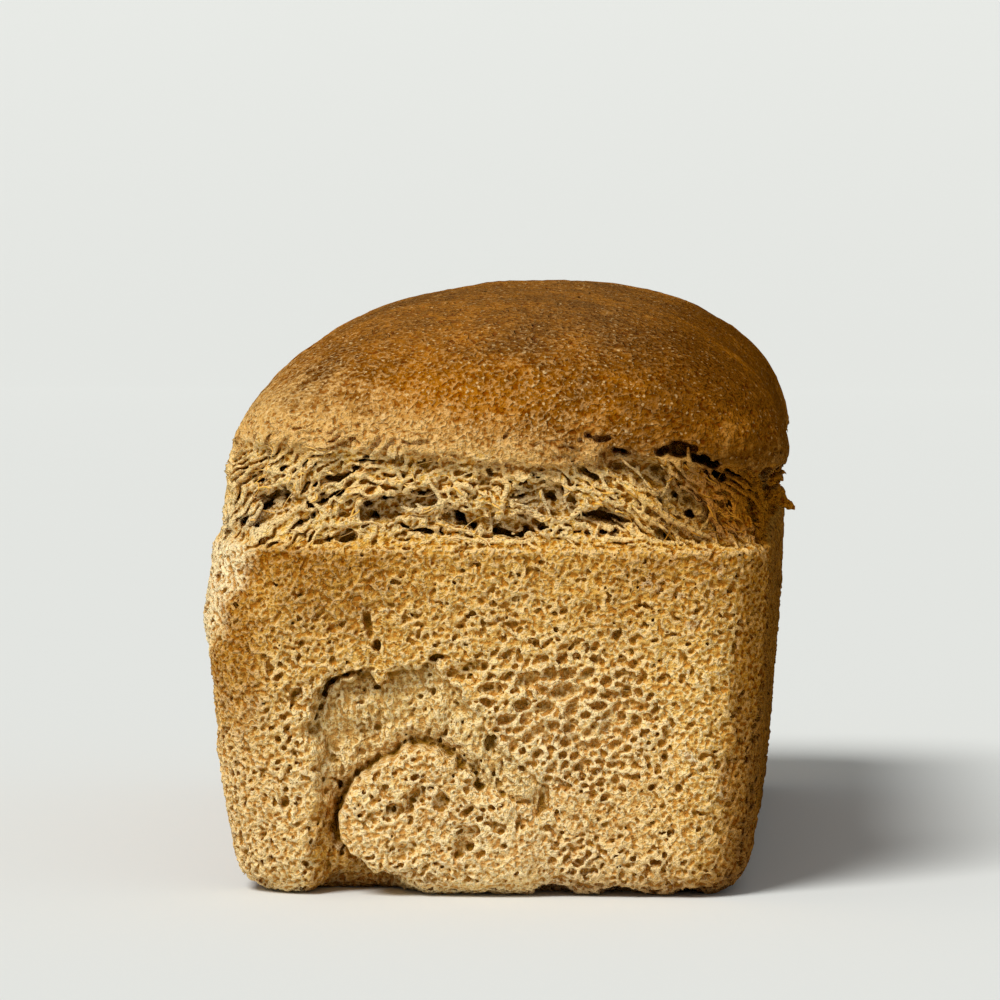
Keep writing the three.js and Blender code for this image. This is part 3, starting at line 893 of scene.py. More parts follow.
def other_pores(field, rng):
    """The pores of the long sides, the back end, the base and the torn band round them."""
    form = field.form
    p, n = skin_points(form, 900000, rng)
    behind = (p[:, 1] > form.front(0) + 3) | (n[:, 2] < -0.7)
    p, n = p[behind], n[behind]
    x, y, z = p.T
    dice = rng.random(len(p))
    torn = form.torn(x, y, z) > 0.3
    back = (n[:, 1] > 0.6) & (z < form.band_low)
    base = n[:, 2] < -0.6
    crust = (z > form.band_low) & ~torn
    radius = np.select(
        [torn, back, base, crust],
        [0.5 + 1.3 * dice**3, 0.5 + 1.1 * dice**2.2, 0.6 + 0.9 * dice**2, 0.4 + 0.3 * dice],
        0.5 + 0.9 * dice**3,
    )
    keep = rng.random(len(p)) < np.select([torn, back, base, crust], [0.14, 0.7, 0.2, 0.04], 0.16)
    stretch = np.where(torn, 1.5 + 1.3 * rng.random(len(p)), 1.0 + 0.8 * rng.random(len(p)))
    depth = np.select([torn, back, crust], [1.3, 1.0, 0.5], 0.65)
    ways = np.stack(flow(x, y), 1)
    picks = (a[keep] for a in (p, n, radius, stretch, depth, ways))
    stamp_all(field, *picks, 0.35, rng)


# ------------------------------------------------------------ relief


def shaggy(form, x, y, z):
    """How torn the skin is: fully in the band, and fading upwards in the crust over it, less on the right."""
    lip = form.lip(x, y)
    reach = 10 - 8 * ramp(16, 30, x)
    fade = 0.8 * (1 - ramp(lip - 4, lip + reach, z))
    return np.maximum(form.torn(x, y, z), fade * ramp(form.band_low - 1, form.band_low + 1.5, z))


class Relief:
    """The fine relief, called with places: what to add to the field there."""

    MAP_STEP = 0.5  # width of the cells of the front end's maps
    MAP_START = (-60, -2)  # their left and low edges
    MAP_STOP = (60, 100)
    AHEAD = -88  # the maps hold in front of this

    def __init__(self, form, noises):
        self.form = form
        self.rough, self.fine, self.layer, self.grain = noises
        runs = zip(self.MAP_START, self.MAP_STOP)
        middles = [np.arange(low, high, self.MAP_STEP) + self.MAP_STEP / 2 for low, high in runs]
        x, z = np.meshgrid(*middles, indexing="ij")
        ragged = to_window(x, z) + 1.5 * self.rough(x / 2.3, 21.5, z / 2.3)
        self.fibrous = (ramp(0.8, -1.4, ragged) * ramp(-0.5, 0.8, to_lobe(x, z))).astype(np.float32)
        self.closed = (1 - 0.6 * openness(x, z)).astype(np.float32)
        self.dells = ramp(0.4, 2.2, hollow_depth(x, z, self.rough)).astype(np.float32)

    def crest(self, noise):
        """1 along the lines where a noise is 0, and -1 far from them."""
        return 1 - 2.0 * np.abs(noise)

    def shred(self, x, y, z):
        """Layers of torn dough: crests along the flow, which arches over the ends."""
        end = ramp(86, 95, np.abs(y))
        swirl = 1.7 * self.rough(x / 7, y / 7, z / 7) + 1.1 * self.grain(x / 2.7, y / 2.7, z / 2.7)
        height = z + end * ARCH_FALL * (x - ARCH_TOP) ** 2 + (1 - end) * SIDE_FALL * y * y + swirl
        wild = 0.7 + 0.8 * self.rough(x / 12 + 3, y / 12, z / 6)
        wild = wild * (1 - 0.6 * ramp(-49, -55, x))
        # Flakes that overlap like shingles, each sheer under its lower edge.
        flake = height / 2.5 + 0.9 * self.layer(x / 8, y / 8, z / 6)
        flake = flake + 0.4 * self.fine(x / 1.9, y / 1.9, z / 1.9)
        flake = flake - np.floor(flake)
        strong = np.clip(0.9 + 1.6 * self.fine(x / 4.2, y / 4.2, z / 4.2), 0, 2)
        flake = ramp(0, 0.14, flake) * (1 - flake) * strong
        web = self.crest(self.rough(x / 1.9 + 7, y / 1.9, height / 1.5))
        string = self.crest(self.fine(x / 1.15, y / 1.15 + 3, height / 0.8))
        return wild * (0.8 - 1.5 * flake - 0.6 * web) - 0.6 * string + 0.4

    def skin(self, x, y, z, curl, tight):
        """Skin against the tin: a fine web of crests, weaker where the crumb is open."""
        skin = 0.2 - 0.45 * self.crest(self.fine(x / 1.25 + curl, y / 1.25, z / 1.15 + curl))
        skin = tight * (skin - 0.28 * self.crest(self.layer(x / 0.9, y / 0.9, z / 0.9)) + 0.12)
        return skin + 0.3 * self.rough(x / 3.6, y / 3.6, z / 3.6)

    def fibre(self, x, y, z, curl):
        """The roll's inside: upright fibres and grains."""
        fibre = 0.15 - 0.32 * self.crest(self.layer(x / 1.2 - z / 9, y / 3, z / 5.5 + curl))
        fibre = fibre - 0.34 * self.crest(self.fine(x / 0.95 - z / 6, y / 2, z / 1.6))
        fibre = fibre + 0.4 * self.rough(x / 2.6, y / 2.6, z / 3.4)
        return fibre + 0.3 * self.grain(x / 0.9, y / 0.9, z / 0.9)

    def pebble(self, x, y, z):
        """The dome's fine pebble."""
        pebble = 0.13 * self.grain(x / 0.95, y / 0.95, z / 0.95) + 0.13 * self.fine(x / 2.1, y / 2.1, z / 2.1)
        return pebble + 0.25 * self.rough(x / 7, y / 7, z / 7)

    def __call__(self, x, y, z):
        ix, iz = (
            np.clip(((place - low) / self.MAP_STEP).astype(np.int32), 0, cells - 1)
            for place, low, cells in zip((x, z), self.MAP_START, self.closed.shape)
        )
        ahead = y < self.AHEAD
        torn = shaggy(self.form, x, y, z)
        shred = self.shred(x, y, z) * (1 - 0.55 * self.dells[ix, iz] * ahead)
        curl = 0.8 * self.grain(x / 2.3, y / 2.3 + 9, z / 2.3)
        inside = self.fibrous[ix, iz] * ahead
        skin = self.skin(x, y, z, curl, np.where(ahead, self.closed[ix, iz], 1))
        low = 1 - ramp(self.form.band_low - 2, self.form.band_low + 3, z)
        dough = skin * (1 - inside) + self.fibre(x, y, z, curl) * inside
        plain = low * dough + (1 - low) * self.pebble(x, y, z)
        return (torn * shred + (1 - torn) * plain).astype(np.float32)


def largest_body(corners, quads):
    """The corners and faces of the largest connected piece."""
    label = np.arange(len(corners))
    while True:
        low = label[quads].min(1)
        new = label.copy()
        np.minimum.at(new, quads.ravel(), np.repeat(low, 4))
        new = new[new]
        if (new == label).all():
            break
        label = new
    names, counts = np.unique(label, return_counts=True)
    keep = label == names[counts.argmax()]
    index = np.cumsum(keep) - 1
    return corners[keep], index[quads[keep[quads[:, 0]]]]


def triangles(corners, quads):
    """Four-sided faces cut along their shorter diagonal."""
    a, b, c, d = (corners[quads[:, i]] for i in range(4))
    first = ((a - c) ** 2).sum(1) < ((b - d) ** 2).sum(1)
    pick = np.where(first[:, None], [[0, 1, 2, 0, 2, 3]], [[0, 1, 3, 1, 2, 3]])
    return np.take_along_axis(quads, pick, 1).reshape(-1, 3)


def mesh_of(name, corners, faces):
    """A mesh from arrays, with faces of one size."""
    mesh = bpy.data.meshes.new(name)
    sides = faces.shape[1]
    mesh.vertices.add(len(corners))
    mesh.vertices.foreach_set("co", np.ascontiguousarray(corners, np.float32).ravel())
    mesh.loops.add(faces.size)
    mesh.loops.foreach_set("vertex_index", faces.astype(np.int32).ravel())
    mesh.polygons.add(len(faces))
    mesh.polygons.foreach_set("loop_start", np.arange(0, faces.size, sides, dtype=np.int32))
    mesh.polygons.foreach_set("use_smooth", np.ones(len(faces), bool))
    mesh.update(calc_edges=True)
    return mesh


def new_object(name, mesh):
    thing = bpy.data.objects.new(name, mesh)
    bpy.context.scene.collection.objects.link(thing)
    return thing


def corners_of(mesh):
    co = np.empty(len(mesh.vertices) * 3, np.float32)
    mesh.vertices.foreach_get("co", co)
    return co.reshape(-1, 3)


def thinned(thing, corners, faces):
    """Collapses the part of a mesh that holds these corners to a number of triangles."""
    mesh = thing.data
    inside = np.zeros(len(mesh.vertices), bool)
    inside[corners] = True
    at = np.empty(len(mesh.loops), np.int32)
    mesh.loops.foreach_get("vertex_index", at)
    total = len(at) // 3
    there = int(inside[at[::3]].sum())
    if there <= faces:
        return
    group = thing.vertex_groups.new(name="spare")
    group.add(corners.tolist(), 1.0, "REPLACE")
    squeeze = thing.modifiers.new("thin", "DECIMATE")
    squeeze.ratio = (total - there + faces) / total
    squeeze.vertex_group = group.name
    graph = bpy.context.evaluated_depsgraph_get()
    thing.data = bpy.data.meshes.new_from_object(thing.evaluated_get(graph))
    thing.modifiers.clear()
    thing.vertex_groups.clear()
    bpy.data.meshes.remove(mesh)


def add_number(mesh, name, values):
    layer = mesh.attributes.new(name, "FLOAT", "POINT")
    layer.data.foreach_set("value", np.ascontiguousarray(values, np.float32))


# ------------------------------------------------------------ materials


class Sock:
    """A shader socket that can be used in sums."""

    def __init__(self, mat, socket):
        self.mat = mat
        self.socket = socket

    def math(self, operation, *others, clamp=False):
        sockets = self.mat.node("ShaderNodeMath", {"operation": operation, "use_clamp": clamp}, self, *others)
        return sockets["Value"]

    def __add__(self, other):
        return self.math("ADD", other)

    __radd__ = __add__

    def __mul__(self, other):
        return self.math("MULTIPLY", other)

    __rmul__ = __mul__

    def __sub__(self, other):
        return self.math("SUBTRACT", other)

    def __rsub__(self, other):
        return self.mat.number(other).math("SUBTRACT", self)

    def __truediv__(self, other):
        return self.math("DIVIDE", other)

    def __rtruediv__(self, other):
        return self.mat.number(other).math("DIVIDE", self)

    def __pow__(self, other):
        return self.math("POWER", other)

    def clamped(self):
        return self.math("ADD", 0.0, clamp=True)

    def magnitude(self):
        return self.math("ABSOLUTE")

    def smooth(self, low, high):
        """0 below low and 1 above high, with a smooth rise between. Falls where high is under low."""
        mapped = self.mat.node(
            "ShaderNodeMapRange",
            {"interpolation_type": "SMOOTHSTEP"},
            Value=self,
            **{"From Min": low, "From Max": high, "To Min": 0.0, "To Max": 1.0},
        )
        return mapped["Result"]


class Mat:
    """A material whose nodes are made by expressions."""

    def __init__(self, name):
        self.material = bpy.data.materials.new(name)
        self.material.use_nodes = True
        self.tree = self.material.node_tree
        self.tree.nodes.clear()

    def node(self, kind, settings=None, *inputs, **named):
        """Adds a node: settings first, then sockets by order or by name. Gives its outputs by name."""
        made = self.tree.nodes.new(kind)
        for key, value in (settings or {}).items():
            setattr(made, key, value)
        usable = [slot for slot in made.inputs if slot.enabled]
        slots = list(zip(usable, inputs))
        slots += [(next(slot for slot in usable if slot.name == key), value) for key, value in named.items()]
        for slot, value in slots:
            if value is None:
                continue
            if isinstance(value, Sock):
                self.tree.links.new(value.socket, slot)
            elif slot.type == "RGBA" and len(value) == 3:
                slot.default_value = (*value, 1)
            else:
                slot.default_value = value
        return {s.name: Sock(self, s) for s in made.outputs if s.enabled}

    def number(self, value):
        made = self.tree.nodes.new("ShaderNodeValue")
        made.outputs[0].default_value = value
        return Sock(self, made.outputs[0])

    def attribute(self, name):
        return self.node("ShaderNodeAttribute", {"attribute_name": name})["Fac"]

    def place(self):
        """Places on the piece, in millimetres."""
        return self.stretched(self.node("ShaderNodeTexCoord")["Object"], (MM, MM, MM))

    def stretched(self, vector, scale):
        return self.node("ShaderNodeVectorMath", {"operation": "MULTIPLY"}, vector, scale)["Vector"]

    def along_flow(self, vector):
        """Places squeezed along the dough's stretch, so that a noise there runs in arched streaks."""
        top, fall, squeeze = 2.0, 0.0065, 0.3
        parts = self.node("ShaderNodeSeparateXYZ", {}, vector)
        across = parts["X"] - top
        curl = self.noise(vector, 2.6, 1) * 2.2
        height = parts["Z"] + across * across * fall + curl
        named = {"X": parts["X"] * squeeze, "Y": parts["Y"] * squeeze, "Z": height}
        return self.node("ShaderNodeCombineXYZ", {}, **named)["Vector"]

    def noise(self, vector, size, detail=2.0, rough=0.5):
        """Noise from 0 to 1 whose lumps are about size millimetres wide."""
        named = {"Vector": vector, "Scale": 1.0 / size, "Detail": detail, "Roughness": rough}
        return self.node("ShaderNodeTexNoise", {}, **named)["Fac"]

    def cells(self, vector, size):
        """Distance to the nearest of scattered spots, about size millimetres apart, and its own chance."""
        made = self.node("ShaderNodeTexVoronoi", {}, Vector=vector, Scale=1.0 / size)
        return made["Distance"], self.node("ShaderNodeSeparateColor", {}, made["Color"])["Red"]

    def mix(self, share, first, second):
        settings = {"data_type": "RGBA", "blend_type": "MIX", "clamp_factor": True}
        return self.node("ShaderNodeMix", settings, Factor=share, A=first, B=second)["Result"]

    def shade(self, colour, factor):
        return self.node("ShaderNodeVectorMath", {"operation": "SCALE"}, colour, Scale=factor)["Vector"]

    def grained(self, base, pale, share, high, low):
        """A colour with painted highlights on the raised grains where high is 1, paler by a share, and
        painted shade in the gaps between them where low is 1.
        """
        light = self.mix(share, self.shade(base, 1.3), pale)
        return self.mix(low, self.mix(high, base, light), self.stretched(base, (0.58, 0.33, 0.07)))

    def bump(self, height, strength, distance):
        return self.node("ShaderNodeBump", {}, Strength=strength, Distance=distance, Height=height)["Normal"]

    def finish(self, base, rough, normal, **constants):
        shader = self.node(
            "ShaderNodeBsdfPrincipled",
            {"subsurface_method": "RANDOM_WALK"},
            **{"Base Color": base, "Roughness": rough, "Normal": normal},
            **constants,
        )
        self.node("ShaderNodeOutputMaterial", {}, Surface=shader["BSDF"])
        return self.material


def loaf_material(finish):
    """Crust and crumb in one finish, told apart by the marks on the loaf's corners."""
    m = Mat("loaf_crust")
    here = m.place()
    marks = ("nook", "cave", "sunk", "crust", "gold", "baked", "bare", "torn", "inside")
    nook, cave, sunk, crust, gold, baked, bare, torn, inside = (m.attribute(name) for name in marks)
    broad = m.noise(here, 26, 3) - 0.5
    patch = m.noise(here, 6.5, 4, 0.6) - 0.5
    mottle = m.noise(here, 1.7, 3, 0.6) - 0.5
    grain = m.noise(here, 0.75, 1.5, 0.5) - 0.5
    web = (1 - (m.noise(here, 1.5, 1.0, 0.5) - 0.5).magnitude() * 8).clamped()
    web = web * m.noise(here, 0.95, 1).smooth(0.38, 0.52)
    pit, chance = m.cells(here, 1.1)
    streak = (1 - (m.noise(m.along_flow(here), 0.6, 2, 0.5) - 0.5).magnitude() * 6).clamped()
    upright = m.noise(m.stretched(here, (1, 1, 0.24)), 0.8, 2, 0.6) - 0.5

    # The dome: brown, golden towards its lower edge, with pale specks, painted highlights and painted shade
    # on its fine grain, and a painted sheen along its crest.
    tone = broad * 1.2 + patch * 0.6 + mottle * 0.8 - baked * 0.35
    top = m.mix(tone.smooth(-0.5, 0.35), finish.crust_dark, finish.crust)
    top = m.mix((gold + patch * 0.9 + mottle * 0.9).smooth(0.1, 1.0), top, finish.crust_gold)
    tuft = web * 0.75 + grain * 3.0 + mottle * 0.8
    high = (tuft - 0.1).smooth(0.0, 0.7) * (0.95 - baked * 0.5)
    low = (0.05 - tuft + nook * 0.8).smooth(0.0, 0.55) * 0.85
    top = m.grained(top, finish.crust_pale, (gold * 0.25 + 0.25 - baked * 0.2).clamped(), high, low)
    speck = (chance * 0.3 + grain * 0.8 - pit + 0.02).smooth(0.0, 0.1) * (0.6 - baked * 0.35)
    top = m.mix(speck, top, finish.crust_pale)
    # Pale dough, and a painted sheen along the dome's crest.
    top = m.mix(bare, top, finish.crust_pale)

    # The crumb: golden skin with browned patches, rims paler as painted highlights, and hollows that go from
    # brown to dark as painted shade.
    skin = m.mix((patch * 1.1 + mottle * 0.9).smooth(-0.3, 0.25), finish.crumb_warm, finish.crumb)
    browned = (baked + patch * 1.3 + mottle * 0.9 + grain * 0.6).smooth(0.12, 0.85)
    skin = m.mix(browned, skin, finish.crumb_baked)
    # Darkest where the dough is browned most, on the walls and the right front corner, partly as painted
    # shade.
    skin = m.mix((baked + mottle * 0.6).smooth(0.85, 1.4), skin, finish.crust_dark)
    skin = m.mix(bare * 0.65, skin, finish.crumb_pale)
    skin = m.mix(inside * 0.5, skin, finish.inside)
    warmth = (patch * 1.6 + upright * 0.8 + 0.02).smooth(0.0, 0.35)
    skin = m.mix(inside * warmth * 0.5, skin, finish.crumb_warm)
    skin = m.mix(torn * 0.55, skin, finish.torn)
    # Darker and redder on the band's right, partly as painted shade.
    scorched_and_shade = m.stretched(finish.crumb_baked, (0.8, 0.68, 0.4))
    skin = m.mix((baked * torn).smooth(0.2, 1.0), skin, scorched_and_shade)
    # Painted shade on the floors of the wide hollows, stronger in the torn band.
    skin = m.mix(sunk * 0.8, skin, finish.sunk)
    flour = (m.noise(here, 5.5, 2.5, 0.6)).smooth(0.67, 0.70) * (1 - torn - baked).clamped()
    skin = m.mix(flour * 0.6, skin, finish.flour)
    # Painted highlights on the raised grains and rims, and painted shade in the gaps and small pores between
    # them.
    tuft = web * 1.1 + grain * 2.2 + mottle * 0.4 + streak * torn * 0.4 + upright * inside * 2.6
    high = (tuft - nook * 2.2 - 0.3).smooth(0.0, 0.6)
    low = (0.32 - tuft + nook * 2.0).smooth(0.0, 0.6)
    share = (0.6 - baked * 0.45 - torn * 0.05).clamped()
    high = high * (0.95 - baked * 0.5)
    low = low * (0.8 + torn * 0.2 + baked * 0.1)
    skin = m.grained(skin, finish.crumb_pale, share, high, low)
    # Painted shade in the small pores, browner in the torn band.
    gap = m.mix(torn * 0.6, finish.nook, finish.crumb_baked)
    skin = m.mix((nook * 2.0 + grain * 0.8).smooth(0.2, 1.0), skin, gap)
    # Painted shade in the small pits of the bump.
    pit_shade = (chance * 0.42 - pit - 0.03).smooth(0.0, 0.1)
    skin = m.mix(pit_shade * 0.8, skin, m.stretched(skin, (0.54, 0.33, 0.08)))
    # Painted shade in the depths of tears and wide hollows, darker brown where the dough is browned.
    deep = m.mix(baked, finish.hollow, finish.crust_dark)
    skin = m.mix(inside * 0.12, skin, finish.inside)
    crumb = m.mix((cave * 1.4 + mottle * 0.5).smooth(0.15, 0.85), skin, deep)
    base = m.mix((crust + mottle * 1.0 + patch * 0.6).smooth(0.15, 0.85), crumb, top)

    # The finest relief, in millimetres.
    height = mottle * 0.6 + grain * 1.1 + web * 0.33 + streak * torn * 0.3 + upright * inside * 0.8
    height = height - (chance * 0.42 - pit).clamped() * (1 - crust) * 1.4
    normal = m.bump(height, 1.0, 1 / MM)
    rough = 0.88 + grain * 0.2 - crust * 0.06
    return m.finish(
        base,
        rough,
        normal,
        **{
            "Subsurface Weight": 0.04,
            "Subsurface Radius": (0.0016, 0.0007, 0.0002),
            "Subsurface Scale": 1.0,
            "IOR": 1.4,
            "Specular IOR Level": 0.0,
        },
    )


def thread_material(finish):
    """Stretched dough: golden, and pale where it is thin."""
    m = Mat("torn_dough")
    here = m.place()
    baked = m.attribute("baked")
    tone = m.noise(here, 2.2, 3) - 0.5
    base = m.mix((tone + baked * -0.4).smooth(-0.2, 0.4), finish.torn, finish.crumb_pale)
    # Browner where the dough is marked as browned, which on the right is partly painted shade.
    base = m.mix((baked + tone).smooth(0.2, 0.9), base, finish.crumb_baked)
    normal = m.bump(m.noise(here, 0.3, 2), 0.4, 0.0002)
    return m.finish(
        base,
        0.8,
        normal,
        **{
            "Subsurface Weight": 0.05,
            "Subsurface Radius": (0.002, 0.001, 0.0004),
            "Specular IOR Level": 0.1,
        },
    )


def floor_material(look):
    """Matt paper, a little darker up the wall, where it faces the key light."""
    m = Mat("pale_floor")
    here = m.place()
    level = (m.node("ShaderNodeSeparateXYZ", {}, here)["Z"] / (look.bend * MM)).clamped()
    cosine = 1 - level
    sine = (1 - cosine * cosine) ** 0.5
    lit = cosine * math.sin(look.key_height) + sine * math.cos(look.key_height) * math.cos(look.key_side)
    sky = (cosine + 1) * 0.5 * look.fill * math.pi
    whole = look.key * math.sin(look.key_height) + look.fill * math.pi
    paper = m.mix(m.noise(here, 80, 2) * 0.03, look.floor, (0.72, 0.72, 0.70))
    base = m.shade(paper, whole / (lit * look.key + sky))
    return m.finish(base, 0.95, None, **{"Specular IOR Level": 0.0})


# ------------------------------------------------------------ operators


class MESH_OT_tin_loaf(bpy.types.Operator):
    """Grow the loaf: its plain form, the roll's window, the torn band, the pores and the fine relief"""

    bl_idname = "mesh.tin_loaf"
    bl_label = "Loaf"

    RELIEF_REACH = 2.8  # millimetres from the surface that the fine relief is worked out for
    SHELTERS = {"nook": 0.75, "cave": 2.4}  # how far round a corner the dough is looked for, in millimetres, for the painted shade in small pores and deep hollows

    def grown(self, form, crumb, noises):
        """The field of the finished loaf."""
        rng = np.random.default_rng(crumb.seed)
        field = Field(form, crumb)
        plain = field.values[:, : np.searchsorted(field.y, form.front(0) + field.FINE_DEPTH)].copy()
        cut_front(field, noises[0])
        front_pores(field, noises[0], rng)
        other_pores(field, rng)
        flat, x, y, z = field.shell(self.RELIEF_REACH)
        field.values.ravel()[flat] += in_chunks(Relief(form, noises), x, y, z)
        lay_cords(field, plain, noises[1])
        field.values = np.maximum(field.values, -field.z.astype(np.float32))
        return field

    def execute(self, context):
        scene = context.scene
        form = Form(scene.loaf_form)
        crumb = scene.loaf_crumb
        noises = [Noise(crumb.seed + i) for i in range(4)]
        field = self.grown(form, crumb, noises)
        corners, quads = largest_body(*field.surface())
        corners[:, 2] = np.maximum(corners[:, 2], 0)
        whole = new_object("loaf_whole", mesh_of("loaf_whole", corners / MM, triangles(corners, quads)))
        split = crumb.front_depth * MM - form.rim_length / 2
        each = crumb.faces // 1
        for number in range(len(PIECES)):
            zone = zone_of(corners_of(whole.data) * MM, split, form.band_low)
            thinned(whole, np.flatnonzero(zone == number), each)
        shelters = {name: field.shelter(reach) for name, reach in self.SHELTERS.items()}
        finish = loaf_material(scene.loaf_finish)
        for name, mesh in cut_apart(whole.data, split, form.band_low):
            piece = new_object(name, mesh)
            mark_zones(mesh, form, noises[0])
            # The shelters become the marks for painted shade in small pores and deep hollows.
            for mark, dough in shelters.items():
                add_number(mesh, mark, (field.sample(dough, corners_of(mesh) * MM) - 0.5) * 2)
            mesh.materials.append(finish)
            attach(piece, "root")
            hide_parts("loaf")
        bpy.data.objects.remove(whole)
        return {"FINISHED"}


PIECES = ("crumb_left", "crumb_right", "torn_end", "loaf_body")


def zone_of(places, split, level):
    """Which of the pieces places belong to, by number."""
    x, y, z = places[..., 0], places[..., 1], places[..., 2]
    return np.select([y > split, z > level, x < 0], [3, 2, 0], 1)


def cut_apart(mesh, split, level):
    """A mesh for each zone of a whole one, which keep its normals where they meet."""
    corners = corners_of(mesh)
    normals = np.empty(len(corners) * 3, np.float32)
    mesh.vertex_normals.foreach_get("vector", normals)
    normals = normals.reshape(-1, 3)
    faces = np.empty(len(mesh.loops), np.int32)
    mesh.loops.foreach_get("vertex_index", faces)
    faces = faces.reshape(-1, 3)
    zone = zone_of(corners[faces].mean(1) * MM, split, level)
    for number, name in enumerate(PIECES):
        used, part = np.unique(faces[zone == number], return_inverse=True)
        made = mesh_of(name, corners[used], part.reshape(-1, 3))
        made.normals_split_custom_set_from_vertices(normals[used])
        yield name, made


def browning_and_shade(form, x, y, z, rise, low):
    """How browned the dough is: over the walls, towards the rim and the corners, and on the band's right. On
    the right wall, the right front corner and the right of the band and dome, the darker brown is partly
    painted shade.
    """
    start = -106 + 10 * ramp(20, -20, x)
    wall = ramp(start, start + 10, y) * ramp(106, 98, y) * ramp(6, -2, rise)
    # The right wall is browner still, partly as painted shade; the band on the left is less browned.
    wall = wall * (0.95 + 0.25 * ramp(30, 50, x)) * (1 - 0.5 * (1 - low) * ramp(20, -20, x))
    edge = low * (0.52 * ramp(36, 66, z) + 0.2 * ramp(6, 0, form.tin_depth - z))
    edge = edge * (1 - 0.4 * bell((x - 5) / 24))
    edge = edge + 0.1 * low * ramp(-8, -30, x) * ramp(36, 52, z)
    to_left, to_right = form.rim_width / 2 + x, form.rim_width / 2 - x
    # The right front corner browns most, partly as painted shade.
    corner = 0.93 * ramp(9, 2.5, to_right - form.flare * (1 - z / form.tin_depth))
    corner = np.maximum(corner, 0.3 * ramp(16, 8, to_right))
    corner = np.maximum(corner, (0.28 + 0.42 * ramp(20, 50, z)) * ramp(22, 8, to_left))
    # Darker towards the right of the band and the dome, partly as painted shade; the dome's top is darker as
    # real crust.
    over = 1.2 * ramp(20 - 10 * ramp(-4, 4, rise), 54, x)
    over = over * ramp(form.band_low - 4, form.band_low + 6, z)
    over = np.maximum(over, 0.6 * ramp(106, 119, z))
    return np.maximum(np.maximum(edge, corner * low), np.maximum(wall, over))


def mark_zones(mesh, form, rough):
    """Writes on each corner which finish it has, and where painted shade and a painted sheen go."""
    x, y, z = (corners_of(mesh) * MM).astype(np.float32).T
    wobble = 2.2 * rough(x / 5, y / 5, z / 5) + 1.4 * rough(x / 1.8, y / 1.8, z / 1.8)
    rise = z - form.lip(x, y)
    sharp = ramp(22, 34, x) * ramp(-90, -100, y)
    crust = ramp(-1.5 - 6 * (1 - sharp), 2 + 2 * (1 - sharp), rise + wobble * (1 - 0.5 * sharp))
    add_number(mesh, "crust", crust)
    high = 15 + 10 * ramp(0, -40, x)
    add_number(mesh, "gold", ramp(high, -4, rise) * (1 - 0.78 * ramp(-6, 44, x)))
    torn = np.maximum(form.torn(x, y, z), 0.8 * (1 - ramp(-2, 7, rise)) * (z > form.band_low))
    add_number(mesh, "torn", torn)
    low = ramp(form.band_low + 3, form.band_low - 3, z)
    baked = browning_and_shade(form, x, y, z, rise, low)
    pale = ramp(-44, -50, x + 0.45 * (form.tin_depth - z) + wobble) * ramp(22, 50, z)
    pale = pale * ramp(-70, -95, y) * ramp(86, 74, z)
    ahead = ramp(-85, -95, y)
    inside = ahead * ramp(1.2, -1.6, to_window(x, z) + 0.5 * wobble) * ramp(-0.5, 0.8, to_lobe(x, z))
    valley = inside * ramp(27, 15, z) * ramp(-16, -22, x)
    add_number(mesh, "inside", inside - valley)
    # Painted shade on the floors of wide hollows, by how deep they are.
    sunk = hollow_depth(x, z, rough) * ahead
    add_number(mesh, "sunk", ramp(0.3, 2.2, sunk) * (0.3 + 0.7 * (z > form.band_low)))
    # The valley beside the lobe is browner, partly as painted shade in that recess.
    add_number(mesh, "baked", np.maximum(baked * (1 - 0.85 * pale), 0.55 * valley))
    # Paler towards the bottom of the front end, less to its right, and where the crumb is open.
    plain = 0.42 * ramp(50, 14, z) * ramp(60, 10, x) * (1 - valley) + 0.3 * openness(x, z) * low
    # A painted sheen along the dome's crest.
    crown_sheen = 0.04 * ramp(104, 118, z) * ramp(45, 15, x)
    add_number(mesh, "bare", np.maximum(pale, ahead * plain) + crown_sheen)


